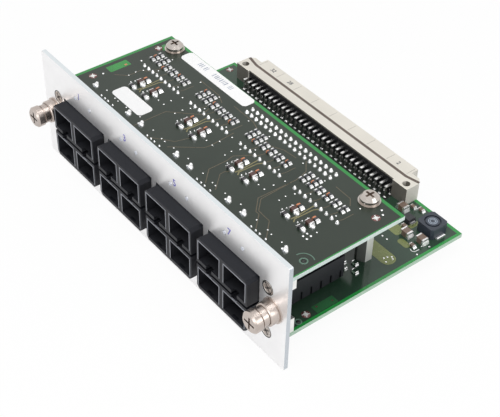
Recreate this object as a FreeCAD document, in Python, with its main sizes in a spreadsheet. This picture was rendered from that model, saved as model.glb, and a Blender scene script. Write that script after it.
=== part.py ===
import FreeCAD, Part
import math
import os
from types import SimpleNamespace

import Sketcher

# A plug-in card for a network switch: a front panel with eight duplex fibre receptacles, a main board,
# a mezzanine board above it and a three-row card connector at the rear.
# X runs along the panel, Y from the panel's rear face towards the rear connector, Z up from the
# panel's lower edge. All lengths are in millimetres.

PORT_COLUMNS = 4
CONTACTS_PER_ROW = 32
HEADER_CONTACTS = 18
SIGNAL_PINS = 9
SIDE_SLOTS = 7
ROW_CHIPS = (6, 6, 2)
SMALL_SIDES = 12
SHANK_SIDES = 8

SIZES = {
    # front panel
    "panel_length": 135.0,
    "panel_height": 43.0,
    "panel_thickness": 1.5,
    "panel_corner_radius": 0.6,
    "panel_hole_clearance": 0.05,
    # boards
    "board_thickness": 1.6,
    "board_width": 124.5,
    "board_front_gap": 0.3,
    "main_board_rise": 6.4,
    "main_board_depth": 78.9,
    "board_spacing": 22.2,
    "mezzanine_depth": 49.2,
    # duplex fibre transceivers
    "transceiver_pitch": 27.94,
    "transceiver_width": 25.0,
    "transceiver_height": 10.2,
    "transceiver_length": 39.1,
    "transceiver_seat": 0.4,
    "transceiver_edge_cut": 1.1,
    "nose_reach": 4.5,
    "nose_clearance": 0.25,
    "fibre_pitch": 12.7,
    "port_width": 10.4,
    "port_height": 7.6,
    "port_depth": 13.0,
    "port_frame_depth": 0.8,
    "port_floor": 1.3,
    "key_slot_width": 2.8,
    "key_slot_depth": 6.0,
    "floor_notch_width": 4.8,
    "floor_notch_drop": 0.7,
    "side_rib_pitch": 4.0,
    "side_slot_width": 0.8,
    "side_slot_height": 4.4,
    "side_slot_cut": 0.6,
    "side_slot_start": 13.3,
    "sleeve_radius": 1.65,
    "sleeve_bore_radius": 1.25,
    "sleeve_length": 7.4,
    "post_setback": 16.3,
    "post_radius": 0.7,
    "post_to_pins": 20.32,
    "contact_pitch": 2.54,
    "signal_pin_width": 0.5,
    "pin_stand_out": 0.9,
    # captive screws
    "captive_spread": 122.6,
    "captive_rise": 21.5,
    "head_radius": 3.7,
    "head_length": 2.7,
    "head_edge": 0.6,
    "neck_radius": 2.9,
    "neck_length": 0.6,
    "skirt_radius": 3.3,
    "skirt_length": 2.4,
    "skirt_overlap": 0.3,
    "head_slot_width": 0.7,
    "head_slot_reach": 2.3,
    "head_slot_depth": 1.2,
    "shank_radius": 2.0,
    "shank_clearance": 0.1,
    "thread_radius": 1.5,
    "thread_length": 3.75,
    "thread_point": 0.5,
    "collar_radius": 3.95,
    "collar_length": 3.1,
    "counterbore_radius": 3.4,
    "counterbore_depth": 2.9,
    "collar_edge": 0.3,
    "flange_radius": 4.4,
    "flange_length": 0.5,
    "barrel_radius": 2.8,
    "retainer_radius": 2.9,
    "retainer_thickness": 0.5,
    "retainer_groove_radius": 1.1,
    "retainer_clearance": 0.05,
    "retainer_travel": 2.4,
    # mounting blocks and small screws
    "block_width": 7.6,
    "block_depth": 6.0,
    "lower_block_height": 6.0,
    "upper_block_height": 3.6,
    "block_inset": 0.05,
    "lower_screw_setback": 2.2,
    "upper_screw_setback": 1.8,
    "panel_screw_radius": 1.2,
    "panel_screw_head_radius": 2.4,
    "panel_screw_length": 4.0,
    "thread_gap": 0.05,
    "screw_hole_clearance": 0.15,
    "block_screw_setback": 3.6,
    "block_screw_radius": 1.0,
    "block_screw_head_radius": 1.9,
    "block_screw_head_height": 1.2,
    "block_screw_length": 4.6,
    # hex spacers
    "spacer_left_reach": 54.3,
    "spacer_right_reach": 50.5,
    "spacer_setback": 45.3,
    "spacer_across_flats": 5.0,
    "spacer_screw_radius": 1.5,
    "spacer_screw_length": 8.0,
    "spacer_lower_screw_length": 6.5,
    "pan_head_radius": 3.2,
    "pan_head_height": 2.3,
    "recess_radius": 1.7,
    "recess_width": 0.8,
    "recess_depth": 1.3,
    "washer_radius": 3.7,
    "washer_thickness": 0.6,
    # rear card connector
    "connector_centre": -6.5,
    "connector_length": 94.0,
    "connector_hole_inset": 2.55,
    "connector_hole_radius": 1.4,
    "connector_hole_setback": 75.8,
    "connector_hole_to_rear": 2.4,
    "connector_height": 7.0,
    "connector_beam_depth": 4.0,
    "connector_flange_depth": 4.6,
    "connector_flange_inset": 1.5,
    "flange_lug_depth": 3.1,
    "flange_lug_cut": 1.8,
    "flange_groove_sweep": 1.2,
    "connector_board_gap": 0.3,
    "mating_inset": 5.5,
    "mating_depth": 6.1,
    "mating_drop": 3.4,
    "mating_wall": 0.9,
    "mating_cavity_depth": 4.6,
    "groove_width": 0.55,
    "groove_depth": 0.8,
    "contact_width": 0.6,
    "contact_shelf_rise": 0.4,
    "contact_leg_setback": 71.4,
    "contact_tip_inset": 1.0,
    # board-to-board header
    "header_centre": 13.1,
    "header_setback": 44.2,
    "header_width": 5.0,
    "header_pin_width": 0.64,
    "header_end_wall": 1.4,
    "header_insulator_height": 2.5,
    "socket_height": 8.6,
    # status lights
    "light_spread": 8.8,
    "light_rise": 3.1,
    "light_radius": 0.65,
    "light_hole_clearance": 0.1,
    "light_proud": 0.15,
    "light_body_width": 2.8,
    "light_body_depth": 3.2,
    "light_body_height": 4.6,
    # parts at the main board's rear right corner
    "inductor_x": 54.9,
    "inductor_y": 72.1,
    "inductor_width": 7.6,
    "inductor_height": 4.2,
    "inductor_corner_cut": 0.9,
    "inductor_bowl_radius": 2.9,
    "inductor_bowl_depth": 0.6,
    "inductor_core_radius": 2.3,
    "diode_x": 46.9,
    "diode_y": 69.2,
    "diode_length": 3.6,
    "diode_width": 3.0,
    "diode_height": 2.0,
    "bulk_chip_length": 3.4,
    "bulk_chip_width": 2.6,
    "bulk_chip_height": 2.2,
    "small_chip_length": 2.0,
    "small_chip_width": 1.25,
    "small_chip_height": 1.0,
    "input_capacitor_x": 41.4,
    "input_capacitor_y": 71.8,
    "filter_capacitor_x": 51.5,
    "filter_capacitor_y": 63.8,
    "output_capacitor_x": 56.9,
    "output_capacitor_y": 65.5,
    "sense_chip_x": 56.7,
    "sense_chip_y": 61.5,
    "bypass_chip_offset": 5.3,
    "bypass_chip_y": 76.3,
    "feedback_chip_offset": 2.5,
    "feedback_chip_y": 75.2,
    "gate_chip_x": 48.2,
    "gate_chip_y": 66.0,
    # small parts on the mezzanine board
    "brown_chip_length": 2.4,
    "brown_chip_width": 1.9,
    "brown_chip_height": 1.3,
    "white_chip_length": 2.2,
    "white_chip_width": 1.4,
    "white_chip_height": 1.0,
    "row_chip_length": 2.0,
    "row_chip_width": 1.1,
    "row_chip_height": 0.7,
    "row_chip_pitch": 3.76,
    "row_chip_rows": 1.95,
    "row_chip_start": 12.0,
    "row_chip_setback": 4.5,
    "group_lead": 2.1,
    "group_spacing": 7.5,
    "group_setback": 7.1,
    "group_front_step": 3.5,
    "group_rear_step": 2.5,
    # main board logic
    "controller_length": 20.0,
    "controller_width": 14.0,
    "controller_height": 2.7,
    "controller_edge": 0.4,
    "controller_y": 57.5,
    "oscillator_width": 12.9,
    "oscillator_height": 5.2,
    "oscillator_corner": 2.0,
    "logic_spacing": 35.0,
    "decoupling_step": 3.0,
    "decoupling_offset": 6.0,
    "stray_chip_x": 54.4,
    "stray_chip_y": 38.2,
    "stray_chip_step_x": 2.9,
    "stray_chip_step_y": 2.6,
    # stickers on the mezzanine board
    "sticker_thickness": 0.1,
    "sticker_corner": 1.6,
    "round_sticker_length": 17.6,
    "round_sticker_width": 6.2,
    "long_sticker_length": 37.8,
    "long_sticker_width": 5.4,
    "round_sticker_offset": 4.7,
    "round_sticker_setback": 5.0,
    "long_sticker_offset": 16.4,
    "long_sticker_edge_gap": 0.2,
}

doc = FreeCAD.newDocument("SwitchLineCard")
sheet = doc.addObject("Spreadsheet::Sheet", "Sizes")
for row, (name, number) in enumerate(SIZES.items(), start=1):
    sheet.set(f"A{row}", name)
    sheet.set(f"B{row}", str(number))
    sheet.setAlias(f"B{row}", name)
doc.recompute()


class Size:
    """A length that carries its number and the sheet expression that gives it."""

    def __init__(self, text, number):
        self.text = text
        self.number = number

    def join(self, sign, other, number):
        return Size(f"({self.text} {sign} {other.text})", number)

    def __add__(self, other):
        other = as_size(other)
        return self.join("+", other, self.number + other.number)

    def __sub__(self, other):
        other = as_size(other)
        return self.join("-", other, self.number - other.number)

    def __mul__(self, other):
        other = as_size(other)
        return self.join("*", other, self.number * other.number)

    def __truediv__(self, other):
        other = as_size(other)
        return self.join("/", other, self.number / other.number)

    def __neg__(self):
        return Size(f"(0 - {self.text})", -self.number)


def as_size(value):
    if isinstance(value, Size):
        return value
    return Size(f"({float(value)!r})", float(value))


dim = SimpleNamespace(**{name: Size(f"Sizes.{name}", float(sheet.get(name))) for name in SIZES})

# Levels and places that several pieces share.
main_top = dim.main_board_rise + dim.board_thickness
mezzanine_underside = main_top + dim.board_spacing
mezzanine_top = mezzanine_underside + dim.board_thickness
nose_front = -(dim.panel_thickness + dim.nose_reach)
panel_front = -dim.panel_thickness
post_line = nose_front + dim.post_setback
pin_line = post_line + dim.post_to_pins
ferrule_front = panel_front - dim.flange_length - dim.collar_length
block_screw_y = dim.board_front_gap + dim.block_screw_setback
block_x = dim.board_width / 2 - dim.block_inset - dim.block_width / 2
upper_screw_z = mezzanine_underside - dim.upper_screw_setback
lower_screw_z = main_top + dim.lower_screw_setback
light_z = mezzanine_top + dim.light_rise
spacer_x = {"left": -dim.spacer_left_reach, "right": dim.spacer_right_reach}
main_rear = dim.board_front_gap + dim.main_board_depth
connector_top = main_top + dim.connector_height
beam_rear = dim.connector_hole_setback + dim.connector_hole_to_rear
connector_hole_x = dim.connector_length / 2 - dim.connector_hole_inset
connector_end = dim.connector_centre + dim.connector_length / 2
beam_front = beam_rear - dim.connector_beam_depth
mating_rear = beam_rear + dim.mating_depth
shroud_front = main_rear + dim.connector_board_gap


def column_x(column):
    """Centre of a receptacle column, counted from the left."""
    return dim.transceiver_pitch * (column - (PORT_COLUMNS - 1) / 2)


# ---------------------------------------------------------------- helpers


def bind(thing, path, value):
    thing.setExpression(path, as_size(value).text)


def place(thing, x, y, z):
    bind(thing, "Placement.Base.x", x)
    bind(thing, "Placement.Base.y", y)
    bind(thing, "Placement.Base.z", z)


def new_body(label, x=0, y=0, z=0, turn=None):
    body = doc.addObject("PartDesign::Body", label)
    body.Label = label
    if turn is not None:
        body.Placement = FreeCAD.Placement(FreeCAD.Vector(0, 0, 0), turn)
    place(body, x, y, z)
    return body


def origin_plane(body, role):
    return next(item for item in body.Origin.OriginFeatures if item.Role == role)


def sketch_on(body, name, plane, lift=None):
    """A sketch on one of the body's own origin planes, lifted along that plane's normal."""
    sketch = body.newObject("Sketcher::SketchObject", name)
    sketch.AttachmentSupport = [(origin_plane(body, plane), "")]
    sketch.MapMode = "FlatFace"
    if lift is not None:
        bind(sketch, "AttachmentOffset.Base.z", lift)
    return sketch


def fix_distance(sketch, kind, item, point, value):
    value = as_size(value)
    index = sketch.addConstraint(Sketcher.Constraint(kind, -1, 1, item, point, value.number))
    sketch.setExpression(f"Constraints[{index}]", value.text)


def draw_polygon(sketch, corners):
    first = sketch.GeometryCount
    corners = [(as_size(x), as_size(y)) for x, y in corners]
    points = [FreeCAD.Vector(x.number, y.number, 0) for x, y in corners]
    count = len(points)
    for index in range(count):
        sketch.addGeometry(Part.LineSegment(points[index], points[(index + 1) % count]), False)
    for index in range(count):
        following = first + (index + 1) % count
        sketch.addConstraint(Sketcher.Constraint("Coincident", first + index, 2, following, 1))
    for index, (x, y) in enumerate(corners):
        fix_distance(sketch, "DistanceX", first + index, 1, x)
        fix_distance(sketch, "DistanceY", first + index, 1, y)


def draw_rectangle(sketch, left, low, right, high):
    draw_polygon(sketch, [(left, low), (right, low), (right, high), (left, high)])


def many_sided(radius, sides, first_turn=0.0):
    """The corners of an even-sided outline; it stands for a circle where a part is too small to show it."""
    angles = [math.radians(first_turn + 360 * step / sides) for step in range(sides)]
    return [(as_size(radius) * math.cos(angle), as_size(radius) * math.sin(angle)) for angle in angles]


def draw_many_sided(sketch, x, y, radius, sides):
    corners = many_sided(radius, sides)
    draw_polygon(sketch, [(as_size(x) + across, as_size(y) + up) for across, up in corners])


def draw_circle(sketch, x, y, radius):
    x, y, radius = as_size(x), as_size(y), as_size(radius)
    centre = FreeCAD.Vector(x.number, y.number, 0)
    item = sketch.addGeometry(Part.Circle(centre, FreeCAD.Vector(0, 0, 1), radius.number), False)
    fix_distance(sketch, "DistanceX", item, 3, x)
    fix_distance(sketch, "DistanceY", item, 3, y)
    index = sketch.addConstraint(Sketcher.Constraint("Radius", item, radius.number))
    sketch.setExpression(f"Constraints[{index}]", radius.text)


def pad(body, name, sketch, length, backwards=False):
    feature = body.newObject("PartDesign::Pad", name)
    feature.Profile = sketch
    feature.Reversed = backwards
    bind(feature, "Length", length)
    return feature


def pocket(body, name, sketch, depth, backwards=False):
    feature = body.newObject("PartDesign::Pocket", name)
    feature.Profile = sketch
    feature.Reversed = backwards
    bind(feature, "Length", depth)
    return feature


def turned(body, name, outline):
    """Revolve an outline of (radius, height) points, drawn on a plane that holds the body's axis."""
    plane, corners = outline
    sketch = sketch_on(body, f"{name}_profile", plane)
    draw_polygon(sketch, corners)
    feature = body.newObject("PartDesign::Revolution", name)
    feature.Profile = sketch
    feature.ReferenceAxis = (sketch, ["V_Axis"])
    feature.Angle = 360
    return feature


def row_pattern(body, name, feature, sketch, axis, pitch, count):
    pattern = body.newObject("PartDesign::LinearPattern", name)
    pattern.Originals = [feature]
    pattern.Direction = (sketch, [axis])
    bind(pattern, "Length", pitch * (count - 1))
    pattern.Occurrences = count
    body.Tip = pattern
    return pattern


def solids_node(label, shapes):
    """One node that holds several like solids, each already in the card's frame."""
    node = doc.addObject("Part::Feature", label)
    node.Label = label
    node.Shape = Part.makeCompound(shapes)
    node.Placement = FreeCAD.Placement()
    return node


def block_solid(centre_x, centre_y, low_z, length_x, width_y, height):
    centre_x, centre_y, low_z = as_size(centre_x), as_size(centre_y), as_size(low_z)
    length_x, width_y, height = as_size(length_x), as_size(width_y), as_size(height)
    corner = FreeCAD.Vector(
        centre_x.number - length_x.number / 2,
        centre_y.number - width_y.number / 2,
        low_z.number,
    )
    return Part.makeBox(length_x.number, width_y.number, height.number, corner)


def set_down(solid, x, y, z, axis):
    """Turn a solid made about +Z to the axis given and move it to its place."""
    turn = FreeCAD.Rotation(FreeCAD.Vector(0, 0, 1), axis)
    base = FreeCAD.Vector(as_size(x).number, as_size(y).number, as_size(z).number)
    solid.Placement = FreeCAD.Placement(base, turn)
    return solid


def lathe_solid(corners, x, y, z, axis):
    """Revolve (radius, height) points about +Z, then set the solid down."""
    points = [FreeCAD.Vector(as_size(r).number, 0, as_size(h).number) for r, h in corners]
    face = Part.Face(Part.makePolygon(points + points[:1]))
    solid = face.revolve(FreeCAD.Vector(0, 0, 0), FreeCAD.Vector(0, 0, 1), 360)
    return set_down(solid, x, y, z, axis)


def rod_solid(radius, sides, low, high):
    """A many-sided rod about +Z."""
    low, high = as_size(low), as_size(high)
    corners = [FreeCAD.Vector(x.number, y.number, low.number) for x, y in many_sided(radius, sides)]
    face = Part.Face(Part.makePolygon(corners + corners[:1]))
    return face.extrude(FreeCAD.Vector(0, 0, high.number - low.number))


def cross_recess(top_z, radius, width, depth):
    """The cutter for a cross recess, in a screw whose axis is +Z."""
    arms = []
    for angle in (0, 90):
        arm = block_solid(0, 0, as_size(top_z) - depth, radius * 2, width, as_size(depth) + 1)
        arm.rotate(FreeCAD.Vector(0, 0, 0), FreeCAD.Vector(0, 0, 1), angle)
        arms.append(arm)
    return arms[0].fuse(arms[1])


# ---------------------------------------------------------------- front panel


def build_front_panel():
    body = new_body("front_panel")
    outline = sketch_on(body, "panel_outline", "XZ_Plane")
    half = dim.panel_length / 2
    draw_rectangle(outline, -half, 0, half, dim.panel_height)
    plate = pad(body, "panel_plate", outline, dim.panel_thickness)
    doc.recompute()
    upright = [
        f"Edge{index + 1}"
        for index, edge in enumerate(plate.Shape.Edges)
        if edge.BoundBox.YLength > 0.9 * dim.panel_thickness.number and edge.BoundBox.XLength < 0.01
    ]
    rounding = body.newObject("PartDesign::Fillet", "panel_corners")
    rounding.Base = (plate, upright)
    bind(rounding, "Radius", dim.panel_corner_radius)

    window = sketch_on(body, "receptacle_window", "XZ_Plane")
    half_window = dim.transceiver_width / 2 + dim.nose_clearance
    draw_rectangle(
        window,
        column_x(0) - half_window,
        main_top + dim.transceiver_seat - dim.nose_clearance,
        column_x(0) + half_window,
        mezzanine_underside - dim.transceiver_seat + dim.nose_clearance,
    )
    cut = pocket(body, "receptacle_cut", window, dim.panel_thickness, backwards=True)
    row_pattern(body, "receptacle_windows", cut, window, "H_Axis", dim.transceiver_pitch, PORT_COLUMNS)

    holes = sketch_on(body, "captive_holes", "XZ_Plane")
    for side in (-1, 1):
        draw_circle(
            holes,
            dim.captive_spread / 2 * side,
            dim.captive_rise,
            dim.barrel_radius + dim.panel_hole_clearance,
        )
    pocket(body, "round_holes", holes, dim.panel_thickness, backwards=True)

    light_holes = sketch_on(body, "light_holes", "XZ_Plane")
    radius = dim.light_radius + dim.light_hole_clearance
    for side in (-1, 1):
        draw_many_sided(light_holes, column_x(0) + dim.light_spread / 2 * side, light_z, radius, SMALL_SIDES)
    cut = pocket(body, "light_hole_pair", light_holes, dim.panel_thickness, backwards=True)
    row_pattern(
        body, "light_hole_row", cut, light_holes, "H_Axis", dim.transceiver_pitch, PORT_COLUMNS
    )

    marks = sketch_on(body, "countersink_centres", "XZ_Plane", dim.panel_thickness)
    for side in (-1, 1):
        for level in (lower_screw_z, upper_screw_z):
            draw_circle(marks, block_x * side, level, dim.panel_screw_radius)
    doc.recompute()
    countersinks = body.newObject("PartDesign::Hole", "countersunk_holes")
    countersinks.Profile = marks
    countersinks.Threaded = False
    countersinks.DepthType = "ThroughAll"
    countersinks.HoleCutType = "Countersink"
    countersinks.HoleCutCustomValues = True
    countersinks.HoleCutCountersinkAngle = 90
    bind(countersinks, "Diameter", (dim.panel_screw_radius + dim.screw_hole_clearance) * 2)
    bind(countersinks, "HoleCutDiameter", (dim.panel_screw_head_radius + dim.panel_hole_clearance) * 2)
    return body


# ---------------------------------------------------------------- boards


def build_board(label, low_z, depth, holes):
    """A printed circuit board with round holes, each given as (x, y, radius)."""
    body = new_body(label)
    outline = sketch_on(body, f"{label}_outline", "XY_Plane", low_z)
    half = dim.board_width / 2
    draw_rectangle(outline, -half, dim.board_front_gap, half, dim.board_front_gap + depth)
    pad(body, f"{label}_laminate", outline, dim.board_thickness)
    drills = sketch_on(body, f"{label}_drills", "XY_Plane", low_z)
    for x, y, radius in holes:
        draw_circle(drills, x, y, radius)
    pocket(body, f"{label}_holes", drills, dim.board_thickness, backwards=True)
    return body


def board_hole_places():
    block_hole = dim.block_screw_radius + dim.screw_hole_clearance
    spacer_hole = dim.spacer_screw_radius + dim.screw_hole_clearance
    places = []
    for side in (-1, 1):
        places.append((block_x * side, block_screw_y, block_hole))
    for x in spacer_x.values():
        places.append((x, dim.spacer_setback, spacer_hole))
    return places


def build_boards():
    connector_holes = [
        (
            dim.connector_centre + connector_hole_x * side,
            dim.connector_hole_setback,
            dim.connector_hole_radius,
        )
        for side in (-1, 1)
    ]
    build_board(
        "main_board", dim.main_board_rise, dim.main_board_depth, board_hole_places() + connector_holes
    )
    build_board("mezzanine_board", mezzanine_underside, dim.mezzanine_depth, board_hole_places())


# ---------------------------------------------------------------- fibre transceivers


def build_transceiver(label, x, seat_z, upside_down):
    """One moulded duplex transceiver. Its own +Z points from its board to the side with the key slots."""
    turn = FreeCAD.Rotation(FreeCAD.Vector(0, 1, 0), 180 if upside_down else 0)
    body = new_body(label, x, nose_front, seat_z, turn)
    half = dim.transceiver_width / 2
    cut = dim.transceiver_edge_cut
    outline = sketch_on(body, f"{label}_section", "XZ_Plane")
    draw_polygon(
        outline,
        [
            (cut - half, 0),
            (half - cut, 0),
            (half, cut),
            (half, dim.transceiver_height),
            (-half, dim.transceiver_height),
            (-half, cut),
        ],
    )
    pad(body, f"{label}_moulding", outline, dim.transceiver_length, backwards=True)

    ports = sketch_on(body, f"{label}_port_outline", "XZ_Plane")
    keys = sketch_on(body, f"{label}_key_outline", "XZ_Plane")
    notches = sketch_on(body, f"{label}_notch_outline", "XZ_Plane", -dim.port_frame_depth)
    port_top = dim.port_floor + dim.port_height
    for side in (-1, 1):
        centre = dim.fibre_pitch / 2 * side
        port_half = dim.port_width / 2
        draw_rectangle(ports, centre - port_half, dim.port_floor, centre + port_half, port_top)
        key_half = dim.key_slot_width / 2
        draw_rectangle(keys, centre - key_half, port_top, centre + key_half, dim.transceiver_height)
        notch_half = dim.floor_notch_width / 2
        draw_rectangle(
            notches,
            centre - notch_half,
            dim.port_floor - dim.floor_notch_drop,
            centre + notch_half,
            dim.port_floor,
        )
    pocket(body, f"{label}_ports", ports, dim.port_depth)
    pocket(body, f"{label}_key_slots", keys, dim.key_slot_depth)
    pocket(body, f"{label}_floor_notches", notches, dim.port_depth - dim.port_frame_depth)

    slot = sketch_on(body, f"{label}_side_slot", "XY_Plane")
    for side in (-1, 1):
        outer = half * side
        inner = (half - dim.side_slot_cut) * side
        start = dim.side_slot_start
        draw_rectangle(slot, inner, start, outer, start + dim.side_slot_width)
    slots = pocket(body, f"{label}_slot_cut", slot, dim.side_slot_height, backwards=True)
    row_pattern(body, f"{label}_slots", slots, slot, "V_Axis", dim.side_rib_pitch, SIDE_SLOTS)
    return body


def fibre_sleeve(x, z):
    """The sleeve that takes a plug's ferrule, standing on the back wall of its opening."""
    sleeve = rod_solid(dim.sleeve_radius, SMALL_SIDES, 0, dim.sleeve_length)
    sleeve = sleeve.cut(rod_solid(dim.sleeve_bore_radius, SMALL_SIDES, 0, dim.sleeve_length))
    return set_down(sleeve, x, nose_front + dim.port_depth, z, FreeCAD.Vector(0, -1, 0))


def transceiver_leads(x, body_z, board_far_z):
    """Nine signal pins and two posts, from the moulding through its board."""
    up = board_far_z.number > body_z.number
    tip = board_far_z + dim.pin_stand_out if up else board_far_z - dim.pin_stand_out
    low = body_z if up else tip
    height = tip - body_z if up else body_z - tip
    leads = []
    for index in range(SIGNAL_PINS):
        pin_x = x + dim.contact_pitch * (index - (SIGNAL_PINS - 1) / 2)
        leads.append(block_solid(pin_x, pin_line, low, dim.signal_pin_width, dim.signal_pin_width, height))
    for side in (-1, 1):
        post_x = x + dim.post_to_pins / 2 * side
        post = rod_solid(dim.post_radius, SHANK_SIDES, 0, height)
        leads.append(set_down(post, post_x, post_line, low, FreeCAD.Vector(0, 0, 1)))
    return leads


def build_transceivers():
    low_seat = main_top + dim.transceiver_seat
    high_seat = mezzanine_underside - dim.transceiver_seat
    fibre_rise = dim.port_floor + dim.port_height / 2
    rows = {
        "lower": (low_seat, False, low_seat + fibre_rise, dim.main_board_rise),
        "upper": (high_seat, True, high_seat - fibre_rise, mezzanine_top),
    }
    for row, (seat, upside_down, fibre_z, board_far) in rows.items():
        sleeves = []
        leads = []
        for column in range(PORT_COLUMNS):
            x = column_x(column)
            build_transceiver(f"transceiver_{row}_{column + 1}", x, seat, upside_down)
            leads += transceiver_leads(x, seat, board_far)
            for side in (-1, 1):
                sleeves.append(fibre_sleeve(x + dim.fibre_pitch / 2 * side, fibre_z))
        solids_node(f"ferrule_sleeves_{row}", sleeves)
        solids_node(f"transceiver_pins_{row}", leads)


# ---------------------------------------------------------------- captive screws


def build_captive_screw(side, x):
    """A knobbed screw whose skirt telescopes into the ferrule when it is pressed home."""
    skirt_rear = ferrule_front + dim.skirt_overlap
    skirt_front = skirt_rear - dim.skirt_length
    head_rear = skirt_front - dim.neck_length
    head_front = head_rear - dim.head_length
    groove_end = dim.retainer_thickness + dim.retainer_clearance * 3
    thread_end = groove_end + dim.thread_length
    screw = new_body(f"captive_screw_{side}", x, 0, dim.captive_rise)
    turned(
        screw,
        f"screw_turning_{side}",
        (
            "XY_Plane",
            [
                (0, head_front),
                (dim.head_radius - dim.head_edge, head_front),
                (dim.head_radius, head_front + dim.head_edge),
                (dim.head_radius, head_rear),
                (dim.neck_radius, head_rear),
                (dim.neck_radius, skirt_front),
                (dim.skirt_radius, skirt_front),
                (dim.skirt_radius, skirt_rear),
                (dim.shank_radius, skirt_rear),
                (dim.shank_radius, 0),
                (dim.retainer_groove_radius, 0),
                (dim.retainer_groove_radius, groove_end),
                (dim.thread_radius, groove_end),
                (dim.thread_radius, thread_end - dim.thread_point),
                (dim.thread_radius - dim.thread_point, thread_end),
                (0, thread_end),
            ],
        ),
    )
    slots = sketch_on(screw, f"screw_recess_{side}", "XZ_Plane", -head_front)
    reach = dim.head_slot_reach
    half = dim.head_slot_width / 2
    draw_polygon(
        slots,
        [
            (-reach, -half),
            (-half, -half),
            (-half, -reach),
            (half, -reach),
            (half, -half),
            (reach, -half),
            (reach, half),
            (half, half),
            (half, reach),
            (-half, reach),
            (-half, half),
            (-reach, half),
        ],
    )
    pocket(screw, f"screw_recess_cut_{side}", slots, dim.head_slot_depth)

    ferrule = new_body(f"screw_ferrule_{side}", x, 0, dim.captive_rise)
    bore = dim.shank_radius + dim.shank_clearance
    flange_front = panel_front - dim.flange_length
    counterbore_rear = ferrule_front + dim.counterbore_depth
    turned(
        ferrule,
        f"ferrule_turning_{side}",
        (
            "XY_Plane",
            [
                (bore, counterbore_rear),
                (dim.counterbore_radius, counterbore_rear),
                (dim.counterbore_radius, ferrule_front),
                (dim.collar_radius - dim.collar_edge, ferrule_front),
                (dim.collar_radius, ferrule_front + dim.collar_edge),
                (dim.collar_radius, flange_front),
                (dim.flange_radius, flange_front),
                (dim.flange_radius, panel_front),
                (dim.barrel_radius, panel_front),
                (dim.barrel_radius, 0),
                (bore, 0),
            ],
        ),
    )

    build_retaining_ring(side, x, dim.retainer_clearance)


def build_retaining_ring(side, x, front):
    """An open ring, clipped into the groove behind the panel, that keeps the screw captive."""
    disc = doc.addObject("Part::Cylinder", f"ring_disc_{side}")
    bind(disc, "Radius", dim.retainer_radius)
    bind(disc, "Height", dim.retainer_thickness)
    hole = doc.addObject("Part::Cylinder", f"ring_hole_{side}")
    bind(hole, "Radius", dim.retainer_groove_radius + dim.retainer_clearance)
    bind(hole, "Height", dim.retainer_thickness)
    mouth = doc.addObject("Part::Box", f"ring_mouth_{side}")
    bind(mouth, "Length", dim.retainer_groove_radius * 2)
    bind(mouth, "Width", dim.retainer_radius * 2)
    bind(mouth, "Height", dim.retainer_thickness)
    bind(mouth, "Placement.Base.x", -dim.retainer_groove_radius)
    cutter = doc.addObject("Part::Fuse", f"ring_cutter_{side}")
    cutter.Base = hole
    cutter.Tool = mouth
    ring = doc.addObject("Part::Cut", f"retaining_ring_{side}")
    ring.Base = disc
    ring.Tool = cutter
    ring.Label = f"retaining_ring_{side}"
    ring.Placement = FreeCAD.Placement(
        FreeCAD.Vector(0, 0, 0), FreeCAD.Rotation(FreeCAD.Vector(1, 0, 0), -90)
    )
    place(ring, x, front, dim.captive_rise)


def build_captive_screws():
    build_captive_screw("left", -dim.captive_spread / 2)
    build_captive_screw("right", dim.captive_spread / 2)


# ---------------------------------------------------------------- mounting blocks and their screws


def build_mounting_blocks():
    """Corner blocks, each with one tapped hole for the panel and one for its board."""
    panel_reach = dim.panel_screw_length - dim.panel_thickness - dim.board_front_gap + dim.thread_gap * 2
    board_reach = dim.block_screw_length - dim.board_thickness + dim.thread_gap * 2
    panel_hole = dim.panel_screw_radius + dim.thread_gap
    board_hole = dim.block_screw_radius + dim.thread_gap
    upper_height = dim.upper_block_height
    for level, low_z, height, screw_z, board_face in (
        ("lower", main_top, dim.lower_block_height, lower_screw_z, 0),
        ("upper", mezzanine_underside - upper_height, upper_height, upper_screw_z, upper_height),
    ):
        for side, sign in (("left", -1), ("right", 1)):
            label = f"mounting_block_{level}_{side}"
            body = new_body(label, block_x * sign, dim.board_front_gap, low_z)
            footprint = sketch_on(body, f"{label}_footprint", "XY_Plane")
            half = dim.block_width / 2
            draw_rectangle(footprint, -half, 0, half, dim.block_depth)
            pad(body, f"{label}_stock", footprint, height)
            front = sketch_on(body, f"{label}_front_mark", "XZ_Plane")
            draw_many_sided(front, 0, screw_z - low_z, panel_hole, SMALL_SIDES)
            pocket(body, f"{label}_front_hole", front, panel_reach)
            face = sketch_on(body, f"{label}_board_mark", "XY_Plane", board_face)
            draw_many_sided(face, 0, dim.block_screw_setback, board_hole, SMALL_SIDES)
            pocket(body, f"{label}_board_hole", face, board_reach, backwards=level == "lower")


def panel_screw(x, z):
    """A countersunk screw, flush with the panel's front face."""
    head_depth = dim.panel_screw_head_radius - dim.panel_screw_radius
    head = [
        (0, -head_depth),
        (dim.panel_screw_radius, -head_depth),
        (dim.panel_screw_head_radius, 0),
        (0, 0),
    ]
    solid = lathe_solid(head, 0, 0, 0, FreeCAD.Vector(0, 0, 1))
    shank = rod_solid(dim.panel_screw_radius, SHANK_SIDES, -dim.panel_screw_length, -head_depth / 2)
    return set_down(solid.fuse(shank), x, panel_front, z, FreeCAD.Vector(0, -1, 0))


def pan_head_screw(x, y, z, axis, radius, head_radius, head_height, length, recessed=True):
    """A pan-head screw whose head sits on z and whose axis points out of the head."""
    head = [
        (0, 0),
        (head_radius, 0),
        (head_radius, head_height * 0.55),
        (head_radius * 0.72, head_height),
        (0, head_height),
    ]
    solid = lathe_solid(head, 0, 0, 0, FreeCAD.Vector(0, 0, 1))
    solid = solid.fuse(rod_solid(radius, SHANK_SIDES, -length, head_height / 2))
    if recessed:
        solid = solid.cut(cross_recess(head_height, dim.recess_radius, dim.recess_width, dim.recess_depth))
    return set_down(solid, x, y, z, axis)


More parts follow.
